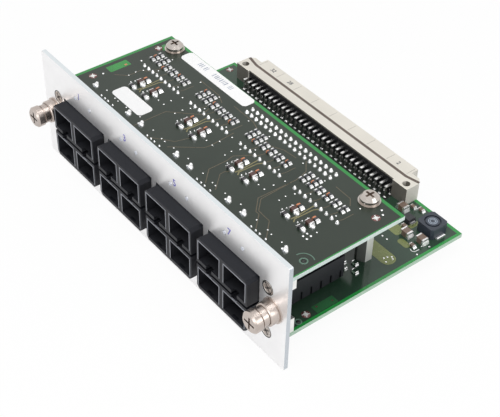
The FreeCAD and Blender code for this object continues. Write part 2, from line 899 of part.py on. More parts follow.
def build_small_screws():
    up = FreeCAD.Vector(0, 0, 1)
    down = FreeCAD.Vector(0, 0, -1)
    panel_set = []
    block_set = []
    upper_set = []
    lower_set = []
    washers = []
    for sign in (-1, 1):
        for level in (lower_screw_z, upper_screw_z):
            panel_set.append(panel_screw(block_x * sign, level))
        for seat, axis in ((mezzanine_top, up), (dim.main_board_rise, down)):
            block_set.append(
                pan_head_screw(
                    block_x * sign,
                    block_screw_y,
                    seat,
                    axis,
                    dim.block_screw_radius,
                    dim.block_screw_head_radius,
                    dim.block_screw_head_height,
                    dim.block_screw_length,
                    recessed=False,
                )
            )
    for x in spacer_x.values():
        upper_set.append(
            pan_head_screw(
                x,
                dim.spacer_setback,
                mezzanine_top + dim.washer_thickness,
                up,
                dim.spacer_screw_radius,
                dim.pan_head_radius,
                dim.pan_head_height,
                dim.spacer_screw_length,
            )
        )
        lower_set.append(
            pan_head_screw(
                x,
                dim.spacer_setback,
                dim.main_board_rise,
                down,
                dim.spacer_screw_radius,
                dim.pan_head_radius,
                dim.pan_head_height,
                dim.spacer_lower_screw_length,
                recessed=False,
            )
        )
        bore = dim.spacer_screw_radius + dim.screw_hole_clearance
        washers.append(
            lathe_solid(
                [
                    (bore, 0),
                    (dim.washer_radius, 0),
                    (dim.washer_radius, dim.washer_thickness),
                    (bore, dim.washer_thickness),
                ],
                x,
                dim.spacer_setback,
                mezzanine_top,
                up,
            )
        )
    solids_node("panel_screws", panel_set)
    solids_node("block_screws", block_set)
    solids_node("standoff_screws_upper", upper_set)
    solids_node("standoff_screws_lower", lower_set)
    solids_node("standoff_washers", washers)


def build_standoffs():
    """Hex spacers, tapped right through, that carry the mezzanine board."""
    corner = dim.spacer_across_flats / 2 / math.cos(math.radians(30))
    for side, x in spacer_x.items():
        body = new_body(f"standoff_{side}", x, dim.spacer_setback, main_top)
        outline = sketch_on(body, f"hexagon_{side}", "XY_Plane")
        draw_polygon(outline, many_sided(corner, 6, first_turn=30))
        draw_many_sided(outline, 0, 0, dim.spacer_screw_radius + dim.thread_gap, SMALL_SIDES)
        pad(body, f"spacer_{side}", outline, dim.board_spacing)


# ---------------------------------------------------------------- rear card connector


def build_connector_body():
    """The moulding of a right-angle card connector: a beam with end flanges and a hollow mating shroud."""
    body = new_body("rear_connector_body", dim.connector_centre, 0, 0)
    half = dim.connector_length / 2
    mating_half = half - dim.mating_inset
    flange_front = beam_rear - dim.connector_flange_depth
    lug_rear = beam_rear + dim.flange_lug_depth
    beam_half = mating_half - dim.connector_flange_inset

    beam = sketch_on(body, "connector_plan", "XY_Plane", main_top)
    draw_polygon(
        beam,
        [
            (-half, flange_front),
            (-beam_half, flange_front),
            (-beam_half, beam_front),
            (beam_half, beam_front),
            (beam_half, flange_front),
            (half, flange_front),
            (half, lug_rear - dim.flange_lug_cut),
            (half - dim.flange_lug_cut, lug_rear),
            (mating_half, lug_rear),
            (mating_half, mating_rear),
            (-mating_half, mating_rear),
            (-mating_half, lug_rear),
            (dim.flange_lug_cut - half, lug_rear),
            (-half, lug_rear - dim.flange_lug_cut),
        ],
    )
    pad(body, "connector_beam", beam, dim.connector_height)

    shroud = sketch_on(body, "shroud_section", "XZ_Plane", -shroud_front)
    draw_rectangle(shroud, -mating_half, main_top - dim.mating_drop, mating_half, connector_top)
    pad(body, "connector_shroud", shroud, mating_rear - shroud_front, backwards=True)

    cavity = sketch_on(body, "cavity_section", "XZ_Plane", -mating_rear)
    draw_rectangle(
        cavity,
        dim.mating_wall - mating_half,
        main_top - dim.mating_drop + dim.mating_wall,
        mating_half - dim.mating_wall,
        connector_top - dim.mating_wall,
    )
    pocket(body, "connector_cavity", cavity, dim.mating_cavity_depth, backwards=True)

    groove = sketch_on(body, "groove_plan", "XY_Plane", connector_top)
    swept = beam_rear + dim.flange_groove_sweep
    draw_polygon(
        groove,
        [
            (-half, swept),
            (-mating_half, beam_rear),
            (mating_half, beam_rear),
            (half, swept),
            (half, swept + dim.groove_width),
            (mating_half, beam_rear + dim.groove_width),
            (-mating_half, beam_rear + dim.groove_width),
            (-half, swept + dim.groove_width),
        ],
    )
    pocket(body, "connector_groove", groove, dim.groove_depth)

    holes = sketch_on(body, "flange_holes", "XY_Plane", main_top)
    for side in (-1, 1):
        x = connector_hole_x * side
        draw_circle(holes, x, dim.connector_hole_setback, dim.connector_hole_radius)
    pocket(body, "connector_holes", holes, dim.connector_height, backwards=True)
    return body


def bent_contact(x, row):
    """A right-angle contact: a blade in the shroud, a shelf behind the beam and a leg through the board."""
    half = dim.contact_width.number / 2
    middle_z = (main_top - dim.mating_drop + connector_top).number / 2
    blade_z = middle_z + dim.contact_pitch.number * (row - 1)
    shelf_z = max(blade_z, (main_top + dim.contact_shelf_rise).number + half)
    leg_y = (dim.contact_leg_setback + dim.contact_pitch * (2 - row)).number
    tip_y = (mating_rear - dim.contact_tip_inset).number
    foot_z = (dim.main_board_rise - dim.pin_stand_out).number
    left = as_size(x).number - half
    outline = [
        (leg_y - half, foot_z),
        (leg_y + half, foot_z),
        (leg_y + half, shelf_z - half),
    ]
    if shelf_z > blade_z:
        riser_y = shroud_front.number + half
        outline += [
            (riser_y, shelf_z - half),
            (riser_y, blade_z - half),
            (tip_y, blade_z - half),
            (tip_y, blade_z + half),
            (riser_y + 2 * half, blade_z + half),
            (riser_y + 2 * half, shelf_z + half),
        ]
    else:
        outline += [(tip_y, blade_z - half), (tip_y, blade_z + half)]
    outline.append((leg_y - half, shelf_z + half))
    points = [FreeCAD.Vector(left, y, z) for y, z in outline]
    face = Part.Face(Part.makePolygon(points + points[:1]))
    return face.extrude(FreeCAD.Vector(2 * half, 0, 0))


def build_connector_contacts():
    for row, letter in enumerate("abc"):
        contacts = []
        for index in range(CONTACTS_PER_ROW):
            offset = dim.contact_pitch * (index - (CONTACTS_PER_ROW - 1) / 2)
            contacts.append(bent_contact(dim.connector_centre + offset, row))
        solids_node(f"connector_pins_{letter}", contacts)


# ---------------------------------------------------------------- board-to-board header


def build_header():
    length = dim.contact_pitch * (HEADER_CONTACTS - 1) + dim.header_end_wall * 2
    x, y = dim.header_centre, dim.header_setback
    socket = new_body("header_socket", x, y, main_top)
    outline = sketch_on(socket, "socket_plan", "XY_Plane")
    half_length = length / 2
    half_width = dim.header_width / 2
    draw_rectangle(outline, -half_length, -half_width, half_length, half_width)
    pad(socket, "socket_block", outline, dim.socket_height)

    socket_top = main_top + dim.socket_height
    insulator = dim.header_insulator_height
    solids_node(
        "header_insulators",
        [
            block_solid(x, y, socket_top, length, dim.header_width, insulator),
            block_solid(x, y, mezzanine_underside - insulator, length, dim.header_width, insulator),
        ],
    )

    pins = []
    width = dim.header_pin_width
    insert = socket_top - dim.socket_height / 2
    pin_top = mezzanine_top + dim.pin_stand_out
    tail_low = dim.main_board_rise - dim.pin_stand_out
    for index in range(HEADER_CONTACTS):
        pin_x = x + dim.contact_pitch * (index - (HEADER_CONTACTS - 1) / 2)
        for side in (-1, 1):
            pin_y = y + dim.contact_pitch / 2 * side
            pins.append(block_solid(pin_x, pin_y, insert, width, width, pin_top - insert))
            tail_height = main_top + dim.header_insulator_height / 2 - tail_low
            pins.append(block_solid(pin_x, pin_y, tail_low, width, width, tail_height))
    solids_node("header_pins", pins)


# ---------------------------------------------------------------- status lights


def status_light(x):
    """A right-angle light-emitting diode: a block on the board and a lens through the panel."""
    block = block_solid(
        x,
        dim.board_front_gap + dim.light_body_depth / 2,
        mezzanine_top,
        dim.light_body_width,
        dim.light_body_depth,
        dim.light_body_height,
    )
    reach = dim.board_front_gap + dim.panel_thickness + dim.light_proud
    lens = rod_solid(dim.light_radius, SMALL_SIDES, -dim.light_radius, reach)
    return block.fuse(set_down(lens, x, dim.board_front_gap, light_z, FreeCAD.Vector(0, -1, 0)))


def build_status_lights():
    lights = []
    for column in range(PORT_COLUMNS):
        for side in (-1, 1):
            lights.append(status_light(column_x(column) + dim.light_spread / 2 * side))
    solids_node("status_lights", lights)


# ---------------------------------------------------------------- parts at the rear right corner


def build_power_inductor():
    body = new_body("power_inductor", dim.inductor_x, dim.inductor_y, main_top)
    outline = sketch_on(body, "inductor_plan", "XY_Plane")
    half = dim.inductor_width / 2
    inner = half - dim.inductor_corner_cut
    draw_polygon(
        outline,
        [
            (-inner, -half),
            (inner, -half),
            (half, -inner),
            (half, inner),
            (inner, half),
            (-inner, half),
            (-half, inner),
            (-half, -inner),
        ],
    )
    pad(body, "inductor_shell", outline, dim.inductor_height)
    bowl = sketch_on(body, "inductor_bowl", "XY_Plane", dim.inductor_height)
    draw_circle(bowl, 0, 0, dim.inductor_bowl_radius)
    pocket(body, "inductor_bowl_cut", bowl, dim.inductor_bowl_depth)

    core = new_body("inductor_core", dim.inductor_x, dim.inductor_y, main_top)
    round_top = sketch_on(core, "core_plan", "XY_Plane", dim.inductor_height - dim.inductor_bowl_depth)
    draw_circle(round_top, 0, 0, dim.inductor_core_radius)
    pad(core, "core_drum", round_top, dim.inductor_bowl_depth)


def build_rear_corner_parts():
    build_power_inductor()

    diode = new_body("rectifier_diode", dim.diode_x, dim.diode_y, main_top)
    section = sketch_on(diode, "diode_section", "XZ_Plane", dim.diode_width / 2)
    half = dim.diode_length / 2
    draw_polygon(
        section,
        [
            (-half, 0),
            (half, 0),
            (half, dim.diode_height / 2),
            (half * 0.9, dim.diode_height),
            (-half * 0.9, dim.diode_height),
            (-half, dim.diode_height / 2),
        ],
    )
    pad(diode, "diode_moulding", section, dim.diode_width, backwards=True)

    bulk = (dim.bulk_chip_length, dim.bulk_chip_width, dim.bulk_chip_height)
    small = (dim.small_chip_length, dim.small_chip_width, dim.small_chip_height)
    places = [
        (dim.input_capacitor_x, dim.input_capacitor_y, bulk),
        (dim.filter_capacitor_x, dim.filter_capacitor_y, bulk),
        (dim.output_capacitor_x, dim.output_capacitor_y, bulk),
        (dim.sense_chip_x, dim.sense_chip_y, small),
        (connector_end + dim.bypass_chip_offset, dim.bypass_chip_y, small),
        (connector_end + dim.feedback_chip_offset, dim.feedback_chip_y, small),
        (dim.gate_chip_x, dim.gate_chip_y, small),
    ]
    chips = [block_solid(x, y, main_top, *sizes) for x, y, sizes in places]
    solids_node("bulk_capacitors", chips)


# ---------------------------------------------------------------- small parts on the boards


def build_mezzanine_chips():
    """Two filter groups and three rows of small chips behind each transceiver, on the solder side."""
    group_y = pin_line - dim.group_setback
    row_y = pin_line + dim.row_chip_setback
    brown = (dim.brown_chip_length, dim.brown_chip_width, dim.brown_chip_height)
    white = (dim.white_chip_length, dim.white_chip_width, dim.white_chip_height)
    small = (dim.row_chip_length, dim.row_chip_width, dim.row_chip_height)
    inductors = []
    capacitors = []
    resistors = []
    for column in range(PORT_COLUMNS):
        for group in range(2):
            x = column_x(column) - dim.group_lead + dim.group_spacing * group
            inductors.append(block_solid(x, group_y, mezzanine_top, *brown))
            capacitors.append(block_solid(x, group_y - dim.group_front_step, mezzanine_top, *white))
            capacitors.append(block_solid(x, group_y + dim.group_rear_step, mezzanine_top, *white))
        for row, count in enumerate(ROW_CHIPS):
            y = row_y + dim.row_chip_rows * row
            for index in range(count):
                x = column_x(column) - dim.row_chip_start + dim.row_chip_pitch * index
                resistors.append(block_solid(x, y, mezzanine_top, *small))
    solids_node("mezzanine_inductors", inductors)
    solids_node("mezzanine_capacitors", capacitors)
    solids_node("mezzanine_resistors", resistors)


def build_main_board_logic():
    logic_x = dim.connector_centre
    for side, x in (("left", logic_x - dim.logic_spacing), ("right", logic_x)):
        body = new_body(f"controller_chip_{side}", x, dim.controller_y, main_top)
        outline = sketch_on(body, f"controller_plan_{side}", "XY_Plane")
        half_length = dim.controller_length / 2
        half_width = dim.controller_width / 2
        draw_rectangle(outline, -half_length, -half_width, half_length, half_width)
        block = pad(body, f"controller_block_{side}", outline, dim.controller_height)
        doc.recompute()
        top_edges = [
            f"Edge{index + 1}"
            for index, edge in enumerate(block.Shape.Edges)
            if edge.BoundBox.ZMin > dim.controller_height.number * 0.9
        ]
        bevel = body.newObject("PartDesign::Chamfer", f"controller_bevel_{side}")
        bevel.Base = (block, top_edges)
        bind(bevel, "Size", dim.controller_edge)

    can = new_body("clock_oscillator", logic_x + dim.logic_spacing, dim.controller_y, main_top)
    outline = sketch_on(can, "oscillator_plan", "XY_Plane")
    half = dim.oscillator_width / 2
    draw_rectangle(outline, -half, -half, half, half)
    block = pad(can, "oscillator_can", outline, dim.oscillator_height)
    doc.recompute()
    corners = [
        f"Edge{index + 1}"
        for index, edge in enumerate(block.Shape.Edges)
        if edge.BoundBox.ZLength > dim.oscillator_height.number * 0.9
    ]
    rounding = can.newObject("PartDesign::Fillet", "oscillator_corners")
    rounding.Base = (block, corners)
    bind(rounding, "Radius", dim.oscillator_corner)

    sizes = (dim.small_chip_length, dim.small_chip_width, dim.small_chip_height)
    chips = []
    chip_y = pin_line + dim.decoupling_offset
    for column in range(PORT_COLUMNS):
        for index in range(3):
            chip_x = column_x(column) + dim.decoupling_offset + dim.decoupling_step * (index - 1)
            chips.append(block_solid(chip_x, chip_y, main_top, *sizes))
    for index in range(3):
        chip_x = dim.stray_chip_x - dim.stray_chip_step_x * index
        chip_y = dim.stray_chip_y + dim.stray_chip_step_y * (index % 2)
        chips.append(block_solid(chip_x, chip_y, main_top, *sizes))
    solids_node("main_board_chips", chips)


def build_sticker(label, x, y, length, width):
    body = new_body(label, x, y, mezzanine_top)
    outline = sketch_on(body, f"{label}_outline", "XY_Plane")
    draw_rectangle(outline, -length / 2, -width / 2, length / 2, width / 2)
    sheet_pad = pad(body, f"{label}_sheet", outline, dim.sticker_thickness)
    doc.recompute()
    corners = [
        f"Edge{index + 1}"
        for index, edge in enumerate(sheet_pad.Shape.Edges)
        if edge.BoundBox.ZLength > dim.sticker_thickness.number * 0.9
    ]
    rounding = body.newObject("PartDesign::Fillet", f"{label}_corners")
    rounding.Base = (sheet_pad, corners)
    bind(rounding, "Radius", dim.sticker_corner)


def build_stickers():
    build_sticker(
        "round_corner_sticker",
        column_x(0) + dim.round_sticker_offset,
        post_line + dim.round_sticker_setback,
        dim.round_sticker_length,
        dim.round_sticker_width,
    )
    rear = dim.board_front_gap + dim.mezzanine_depth
    build_sticker(
        "long_sticker",
        column_x(1) - dim.long_sticker_offset,
        rear - dim.long_sticker_width / 2 - dim.long_sticker_edge_gap,
        dim.long_sticker_length,
        dim.long_sticker_width,
    )


# ---------------------------------------------------------------- build, check and export


def sub_parts():
    """Every object that is a node of its own: bodies, named solids and the two rings."""
    for item in doc.Objects:
        if item.TypeId in ("PartDesign::Body", "Part::Feature", "Part::Cut"):
            yield item


def main():
    build_front_panel()
    build_boards()
    build_transceivers()
    build_captive_screws()
    build_mounting_blocks()
    build_small_screws()
    build_standoffs()
    build_connector_body()
    build_connector_contacts()
    build_header()
    build_status_lights()
    build_rear_corner_parts()
    build_mezzanine_chips()
    build_main_board_logic()
    build_stickers()
    doc.recompute()

    for item in doc.Objects:
        if "Invalid" in item.State or "Error" in item.State:
            raise RuntimeError(f"{item.Label} failed to build: {item.State}")
    parts = list(sub_parts())
    for item in parts:
        if item.Shape.isNull() or not item.Shape.isValid():
            raise RuntimeError(f"{item.Label} has no valid shape")

    os.makedirs("parts", exist_ok=True)
    for item in parts:
        item.Shape.exportStep(f"parts/{item.Label}.step")


main()
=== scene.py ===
import math
import random

import bpy
from mathutils import Matrix, Vector


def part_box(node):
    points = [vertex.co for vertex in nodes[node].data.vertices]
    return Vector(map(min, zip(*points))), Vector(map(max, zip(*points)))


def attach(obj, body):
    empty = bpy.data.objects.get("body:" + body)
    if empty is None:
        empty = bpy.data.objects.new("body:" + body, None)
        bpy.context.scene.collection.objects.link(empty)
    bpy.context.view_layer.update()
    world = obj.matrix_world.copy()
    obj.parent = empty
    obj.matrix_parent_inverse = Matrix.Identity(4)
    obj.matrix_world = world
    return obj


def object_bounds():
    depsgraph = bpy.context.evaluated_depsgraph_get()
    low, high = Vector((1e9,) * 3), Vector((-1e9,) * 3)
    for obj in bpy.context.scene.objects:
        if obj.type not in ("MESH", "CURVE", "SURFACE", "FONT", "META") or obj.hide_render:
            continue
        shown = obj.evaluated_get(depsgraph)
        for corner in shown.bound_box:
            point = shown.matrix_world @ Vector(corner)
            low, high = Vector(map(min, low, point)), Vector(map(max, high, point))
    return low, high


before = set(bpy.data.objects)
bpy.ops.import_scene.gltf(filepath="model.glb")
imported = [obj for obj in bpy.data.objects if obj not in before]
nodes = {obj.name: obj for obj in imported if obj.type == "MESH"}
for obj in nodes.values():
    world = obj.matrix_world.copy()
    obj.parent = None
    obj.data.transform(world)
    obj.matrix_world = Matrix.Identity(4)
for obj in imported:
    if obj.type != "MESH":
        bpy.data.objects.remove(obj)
cad_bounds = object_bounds()
MM = 0.001
X, Y, Z = 0, 1, 2
rng = random.Random(7)


def span(node):
    """The node's box in millimetres, as two corners."""
    low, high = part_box(node)
    return [c / MM for c in low], [c / MM for c in high]


def box_middle(low, high):
    """The middle of a box, as x, y and z."""
    return [(a + b) / 2 for a, b in zip(low, high)]


def new_object(name, data):
    made = bpy.data.objects.new(name, data)
    bpy.context.scene.collection.objects.link(made)
    return made


# ---- materials

NOISE_ROUGHNESS = 0.55
FADE_START, FADE_END = 0.3, 0.7
CLOUDS_PER_MM = 0.12
STEEP = 0.7


class Recipe:
    """A node material that is built up one step at a time."""

    def __init__(self, name, roughness, metallic=0.0, specular=0.5):
        self.material = bpy.data.materials.new(name)
        self.material.use_nodes = True
        self.tree = self.material.node_tree
        self.shader = self.tree.nodes["Principled BSDF"]
        self.shader.inputs["Roughness"].default_value = roughness
        self.shader.inputs["Metallic"].default_value = metallic
        self.shader.inputs["Specular IOR Level"].default_value = specular
        self.place = self.node("ShaderNodeTexCoord").outputs["Object"]

    def node(self, kind, **settings):
        made = self.tree.nodes.new(kind)
        for key, value in settings.items():
            setattr(made, key, value)
        return made

    def link(self, output, socket):
        self.tree.links.new(output, socket)

    def noise(self, per_mm, detail=3.0, stretch=None):
        made = self.node("ShaderNodeTexNoise")
        made.inputs["Scale"].default_value = per_mm / MM
        made.inputs["Detail"].default_value = detail
        made.inputs["Roughness"].default_value = NOISE_ROUGHNESS
        place = self.place
        if stretch is not None:
            mapping = self.node("ShaderNodeMapping")
            mapping.inputs["Scale"].default_value = stretch
            self.link(self.place, mapping.inputs["Vector"])
            place = mapping.outputs["Vector"]
        self.link(place, made.inputs["Vector"])
        return made.outputs["Fac"]

    def ramp(self, value, stops):
        made = self.node("ShaderNodeValToRGB")
        ramp = made.color_ramp
        while len(ramp.elements) < len(stops):
            ramp.elements.new(0.5)
        for element, (position, colour) in zip(ramp.elements, stops):
            element.position = position
            if isinstance(colour, (int, float)):
                colour = (colour, colour, colour)
            element.color = (*colour, 1.0)
        self.link(value, made.inputs["Fac"])
        return made.outputs["Color"]

    def between(self, value, low, high):
        """Fade from low to high over the middle of a noise's range."""
        return self.ramp(value, [(FADE_START, low), (FADE_END, high)])

    def varied(self, value, colour, spread):
        """A colour that wanders by a share of itself."""
        return self.between(value, shaded(colour, 1 - spread), shaded(colour, 1 + spread))

    def number(self, operation, *values):
        made = self.node("ShaderNodeMath", operation=operation)
        for socket, value in zip(made.inputs, values):
            if isinstance(value, (int, float)):
                socket.default_value = value
            else:
                self.link(value, socket)
        return made.outputs["Value"]

    def mixed(self, share, under, over):
        """The colour under, with the colour over it wherever the share is one."""
        made = self.node("ShaderNodeMix", data_type="RGBA")
        for index, value in ((0, share), (6, under), (7, over)):
            if isinstance(value, tuple):
                made.inputs[index].default_value = (*value, 1.0)
            else:
                self.link(value, made.inputs[index])
        return made.outputs[2]

    def axes(self):
        """The place in the object's own frame, as x, y and z."""
        split = self.node("ShaderNodeSeparateXYZ")
        self.link(self.place, split.inputs["Vector"])
        return split.outputs

    def facing(self):
        """Which way the surface looks, as the parts of its normal."""
        geometry = self.node("ShaderNodeNewGeometry")
        split = self.node("ShaderNodeSeparateXYZ")
        self.link(geometry.outputs["Normal"], split.inputs["Vector"])
        return split.outputs

    def colour(self, value):
        self.link(value, self.shader.inputs["Base Color"])

    def roughness(self, value):
        self.link(value, self.shader.inputs["Roughness"])

    def finished(self, height, depth_mm):
        """The material, with its relief as the last step."""
        made = self.node("ShaderNodeBump")
        made.inputs["Distance"].default_value = depth_mm * MM
        self.link(height, made.inputs["Height"])
        self.link(made.outputs["Normal"], self.shader.inputs["Normal"])
        return self.material


def shaded(colour, share):
    """The colour made lighter or darker by a share, and never lighter than white."""
    return tuple(min(1.0, c * share) for c in colour)


def moulded(name, colour, roughness=0.5, grain=2.5, depth=0.02, spread=0.12, specular=0.5):
    """Plastic, ceramic, ink, masked copper, painted shade and painted highlights: a fine grain, and a colour
    that wanders a little.
    """
    recipe = Recipe(name, roughness, specular=specular)
    recipe.colour(recipe.varied(recipe.noise(CLOUDS_PER_MM, 2.0), colour, spread))
    fine = recipe.noise(grain, 4.0)
    recipe.roughness(recipe.between(fine, roughness - 0.07, roughness + 0.07))
    return recipe.finished(fine, depth)


def metal(name, colour, roughness=0.3, stretch=None, per_mm=3.0, depth=0.004):
    """Plated or turned metal, with machining lines where a stretch is given."""
    recipe = Recipe(name, roughness, metallic=1.0)
    lines = recipe.noise(per_mm, stretch=stretch)
    recipe.colour(recipe.varied(recipe.noise(0.25, 2.0), colour, 0.1))
    recipe.roughness(recipe.between(lines, roughness - 0.08, roughness + 0.1))
    return recipe.finished(lines, depth)


def cloudy(name, dark, light, roughness, metallic, clouds, grain, depth):
    """A finish that drifts between two colours, as solder, resin and thin plating do."""
    recipe = Recipe(name, roughness, metallic)
    recipe.colour(recipe.between(recipe.noise(clouds, 2.0), dark, light))
    return recipe.finished(recipe.noise(grain), depth)


def side_shaded_paint(
    name, sides, roughness, grain=3.5, depth=0.015, metallic=0.0, specular=0.5, spread=0.06, slant=STEEP
):
    """Painted light and shade: a colour for front faces, one for the top and one for every other side."""
    recipe = Recipe(name, roughness, metallic, specular)
    tone = recipe.noise(CLOUDS_PER_MM, 2.0)
    front, top, other = [recipe.varied(tone, colour, spread) for colour in sides]
    normal = recipe.facing()
    is_front = recipe.number("LESS_THAN", normal[Y], -slant)
    is_top = recipe.number("GREATER_THAN", normal[Z], STEEP)
    recipe.colour(recipe.mixed(is_front, recipe.mixed(is_top, other, top), front))
    fine = recipe.noise(grain, 4.0)
    recipe.roughness(recipe.between(fine, roughness - 0.06, roughness + 0.06))
    return recipe.finished(fine, depth)


def board_finish(name, node, mask, pour, bright, edge, rims, gloss):
    """Solder mask over laminate, with pale glass cloth at the cut edges.

    The mask is bright in the rims, where no copper lies under it. A rim is an axis, a side and a width.
    """
    low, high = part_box(node)
    recipe = Recipe(name, gloss)
    place = recipe.axes()
    tone = recipe.noise(0.05)
    rim = None
    for axis, side, width in rims:
        if side > 0:
            inside = recipe.number("GREATER_THAN", place[axis], high[axis] - width * MM)
        else:
            inside = recipe.number("LESS_THAN", place[axis], low[axis] + width * MM)
        rim = inside if rim is None else recipe.number("MAXIMUM", rim, inside)
    surface = recipe.mixed(rim, recipe.between(tone, mask, pour), bright)
    upright = recipe.number("ABSOLUTE", recipe.facing()[Z])
    is_cut = recipe.number("LESS_THAN", upright, 0.5)
    layers = recipe.noise(1.2, stretch=(1, 1, 9))
    cloth = recipe.ramp(layers, [(0.35, shaded(edge, 0.86)), (0.65, edge)])
    recipe.colour(recipe.mixed(is_cut, surface, cloth))
    recipe.roughness(recipe.between(tone, gloss - 0.03, gloss + 0.04))
    return recipe.finished(recipe.noise(1.6, 2.0), 0.0006)


paints = {
    # Painted light and shade: the panel's top is painted bluer and its other sides darker than its front.
    "panel": side_shaded_paint(
        "panel_paint",
        ((0.93, 0.925, 0.93), (0.72, 0.765, 0.785), (0.54, 0.58, 0.62)),
        0.34, depth=0.006, metallic=0.72, spread=0.01,
    ),
    # Painted light: the black moulding's sides are painted lighter than its front, and its front a hair
    # lighter than its top.
    "black": side_shaded_paint(
        "black_moulding",
        ((0.013, 0.014, 0.018), (0.01, 0.011, 0.015), (0.021, 0.022, 0.026)),
        0.46, specular=0.22,
    ),
    # Painted shade: the dark lining inside the transceiver openings.
    "socket_shade": moulded("socket_painted_shade", (0.017, 0.018, 0.022), 0.65, specular=0.2),
    # A painted highlight: the grey rims round the openings stand for light on their front edges.
    "frame": moulded("socket_rim_highlight", (0.24, 0.25, 0.28), 0.4, depth=0.006),
    "sleeve": moulded("sleeve_plastic", (0.012, 0.012, 0.015), specular=0.2),
    # Painted shade: the standoffs' facets that look to the front are painted dark, the others bright.
    "post": side_shaded_paint(
        "standoff_metal",
        ((0.16, 0.17, 0.16), (0.8, 0.8, 0.8), (0.8, 0.81, 0.78)),
        0.34, depth=0.002, metallic=0.35, slant=0.3,
    ),
    "nickel": metal("nickel_turned", (0.52, 0.455, 0.415), 0.31, stretch=(0.4, 6, 0.4)),
    # Painted shade: the dark brown of the cross recess in the small panel screws.
    "recess": moulded("screw_recess_shade", (0.1, 0.085, 0.075), depth=0.004),
    "spring": metal("spring_steel", (0.4, 0.38, 0.37)),
    "block": metal("block_metal", (0.8, 0.8, 0.78), 0.4, stretch=(1, 6, 1), depth=0.002),
    "screws": metal("plated_screws", (0.52, 0.475, 0.44), 0.16, depth=0.002),
    # Painted shade: the connector's faces that look to the front are painted dark brown, and its other sides
    # darker than its top.
    "beige": side_shaded_paint(
        "connector_moulding",
        ((0.2, 0.185, 0.165), (0.8, 0.765, 0.69), (0.66, 0.635, 0.58)),
        0.5, grain=2.0, depth=0.02, spread=0.03,
    ),
    # A real joint before the rear rail, drawn wide and dark brown as a painted shadow band.
    "groove": moulded("connector_groove", (0.135, 0.105, 0.088), 0.6, depth=0.006),
    # Painted shade: the near-black wall behind the connector's bent pins.
    "pin_shade": moulded("contact_shade_wall", (0.012, 0.012, 0.014), 0.6, specular=0.2),
    "pins": metal("bright_pins", (0.62, 0.6, 0.58), 0.22, stretch=(1, 1, 5)),
    "bars": metal("contact_bars", (0.95, 0.94, 0.92), 0.25, per_mm=1.5, depth=0.006),
    "tin": metal("tinned_pins", (0.92, 0.92, 0.92), 0.25, per_mm=1.5, depth=0.01),
    "header": moulded("header_moulding", (0.04, 0.041, 0.046), 0.4),
    "chip": moulded("chip_black", (0.034, 0.035, 0.04), 0.45, grain=5.0),
    "ferrite": moulded("inductor_black", (0.034, 0.042, 0.058), 0.35),
    "core": moulded("inductor_core_finish", (0.05, 0.062, 0.085), 0.4),
    "coil": moulded("inductor_ring", (0.36, 0.42, 0.5), 0.4, depth=0.006),
    "tan": moulded("chip_tan", (0.19, 0.135, 0.105), 0.35, spread=0.15),
    "brown": moulded("chip_brown", (0.085, 0.04, 0.034), 0.35, spread=0.15),
    "cream": moulded("chip_white", (0.042, 0.04, 0.044), 0.4),
    "slate": moulded("chip_grey", (0.05, 0.052, 0.06), 0.4),
    "orange": moulded("chip_orange", (0.62, 0.24, 0.12), 0.45),
    "can": metal("can_metal", (0.66, 0.67, 0.68), 0.42, per_mm=0.3, depth=0.0002),
    "paper": moulded("sticker_paper", (0.97, 0.97, 0.97), 0.6, grain=1.2, depth=0.004, spread=0.01),
    "pale_ink": moulded("printed_strokes", (0.4, 0.44, 0.52), 0.6, depth=0.003),
    "tan_trace": moulded("trace_under_mask", (0.12, 0.098, 0.062), 0.3, depth=0.004),
    "wide_trace": moulded("trace_wide", (0.23, 0.205, 0.095), 0.3, depth=0.004),
    "copper": moulded("copper_under_mask", (0.2, 0.235, 0.085), 0.25, grain=0.8, depth=0.006, spread=0.1),
    "ring": moulded("mask_ring", (0.11, 0.2, 0.15), 0.3, depth=0.004),
    # Painted shade: the dark of the board holes and of the gaps round the small panel screws.
    "hole": moulded("hole_shade", (0.012, 0.016, 0.013), depth=0.004),
    "dim_green": moulded("dim_mask_field", (0.03, 0.135, 0.05), 0.2, depth=0.004, spread=0.15),
    "light_green": moulded("bare_mask_field", (0.035, 0.27, 0.055), 0.25, depth=0.006, spread=0.2),
    # A painted shadow on the main board below the connector's pins.
    "shadow_green": moulded("mask_shadow_strip", (0.014, 0.02, 0.016), 0.4, depth=0.006),
    "white_ink": moulded("white_legend", (0.86, 0.88, 0.86), depth=0.003),
    "red_ink": moulded("fiducial_red", (0.17, 0.06, 0.055), 0.4, depth=0.003),
    "panel_ink": moulded("panel_ink", (0.12, 0.11, 0.46), grain=4.0, depth=0.003),
    "dark_line": moulded("division_mark", (0.3, 0.28, 0.25), 0.6, depth=0.003),
    "dark_ink": moulded("connector_ink", (0.045, 0.05, 0.065), 0.6, depth=0.003),
    "heads": cloudy(
        "panel_screw_plating", (0.46, 0.4, 0.36), (0.54, 0.47, 0.42), 0.35, 0.35, 0.4, 2.0, 0.003
    ),
    "solder": cloudy("solder", (0.84, 0.84, 0.84), (0.93, 0.93, 0.93), 0.2, 0.82, 0.8, 1.1, 0.02),
    "resin": cloudy("light_resin", (0.66, 0.69, 0.78), (0.76, 0.79, 0.86), 0.2, 0.0, 0.4, 1.5, 0.006),
    "mezzanine": board_finish(
        "mezzanine_laminate", "mezzanine_board",
        mask=(0.014, 0.024, 0.015), pour=(0.021, 0.032, 0.021), bright=(0.022, 0.25, 0.05),
        edge=(0.66, 0.78, 0.74), rims=[(Y, 1, 1.25), (X, -1, 1.25), (X, 1, 0.45)], gloss=0.3,
    ),
    "main": board_finish(
        "main_laminate", "main_board",
        mask=(0.024, 0.055, 0.034), pour=(0.032, 0.068, 0.043), bright=(0.026, 0.3, 0.06),
        edge=(0.42, 0.6, 0.46), rims=[(Y, 1, 1.3), (X, -1, 1.1), (X, 1, 1.1)], gloss=0.13,
    ),
}

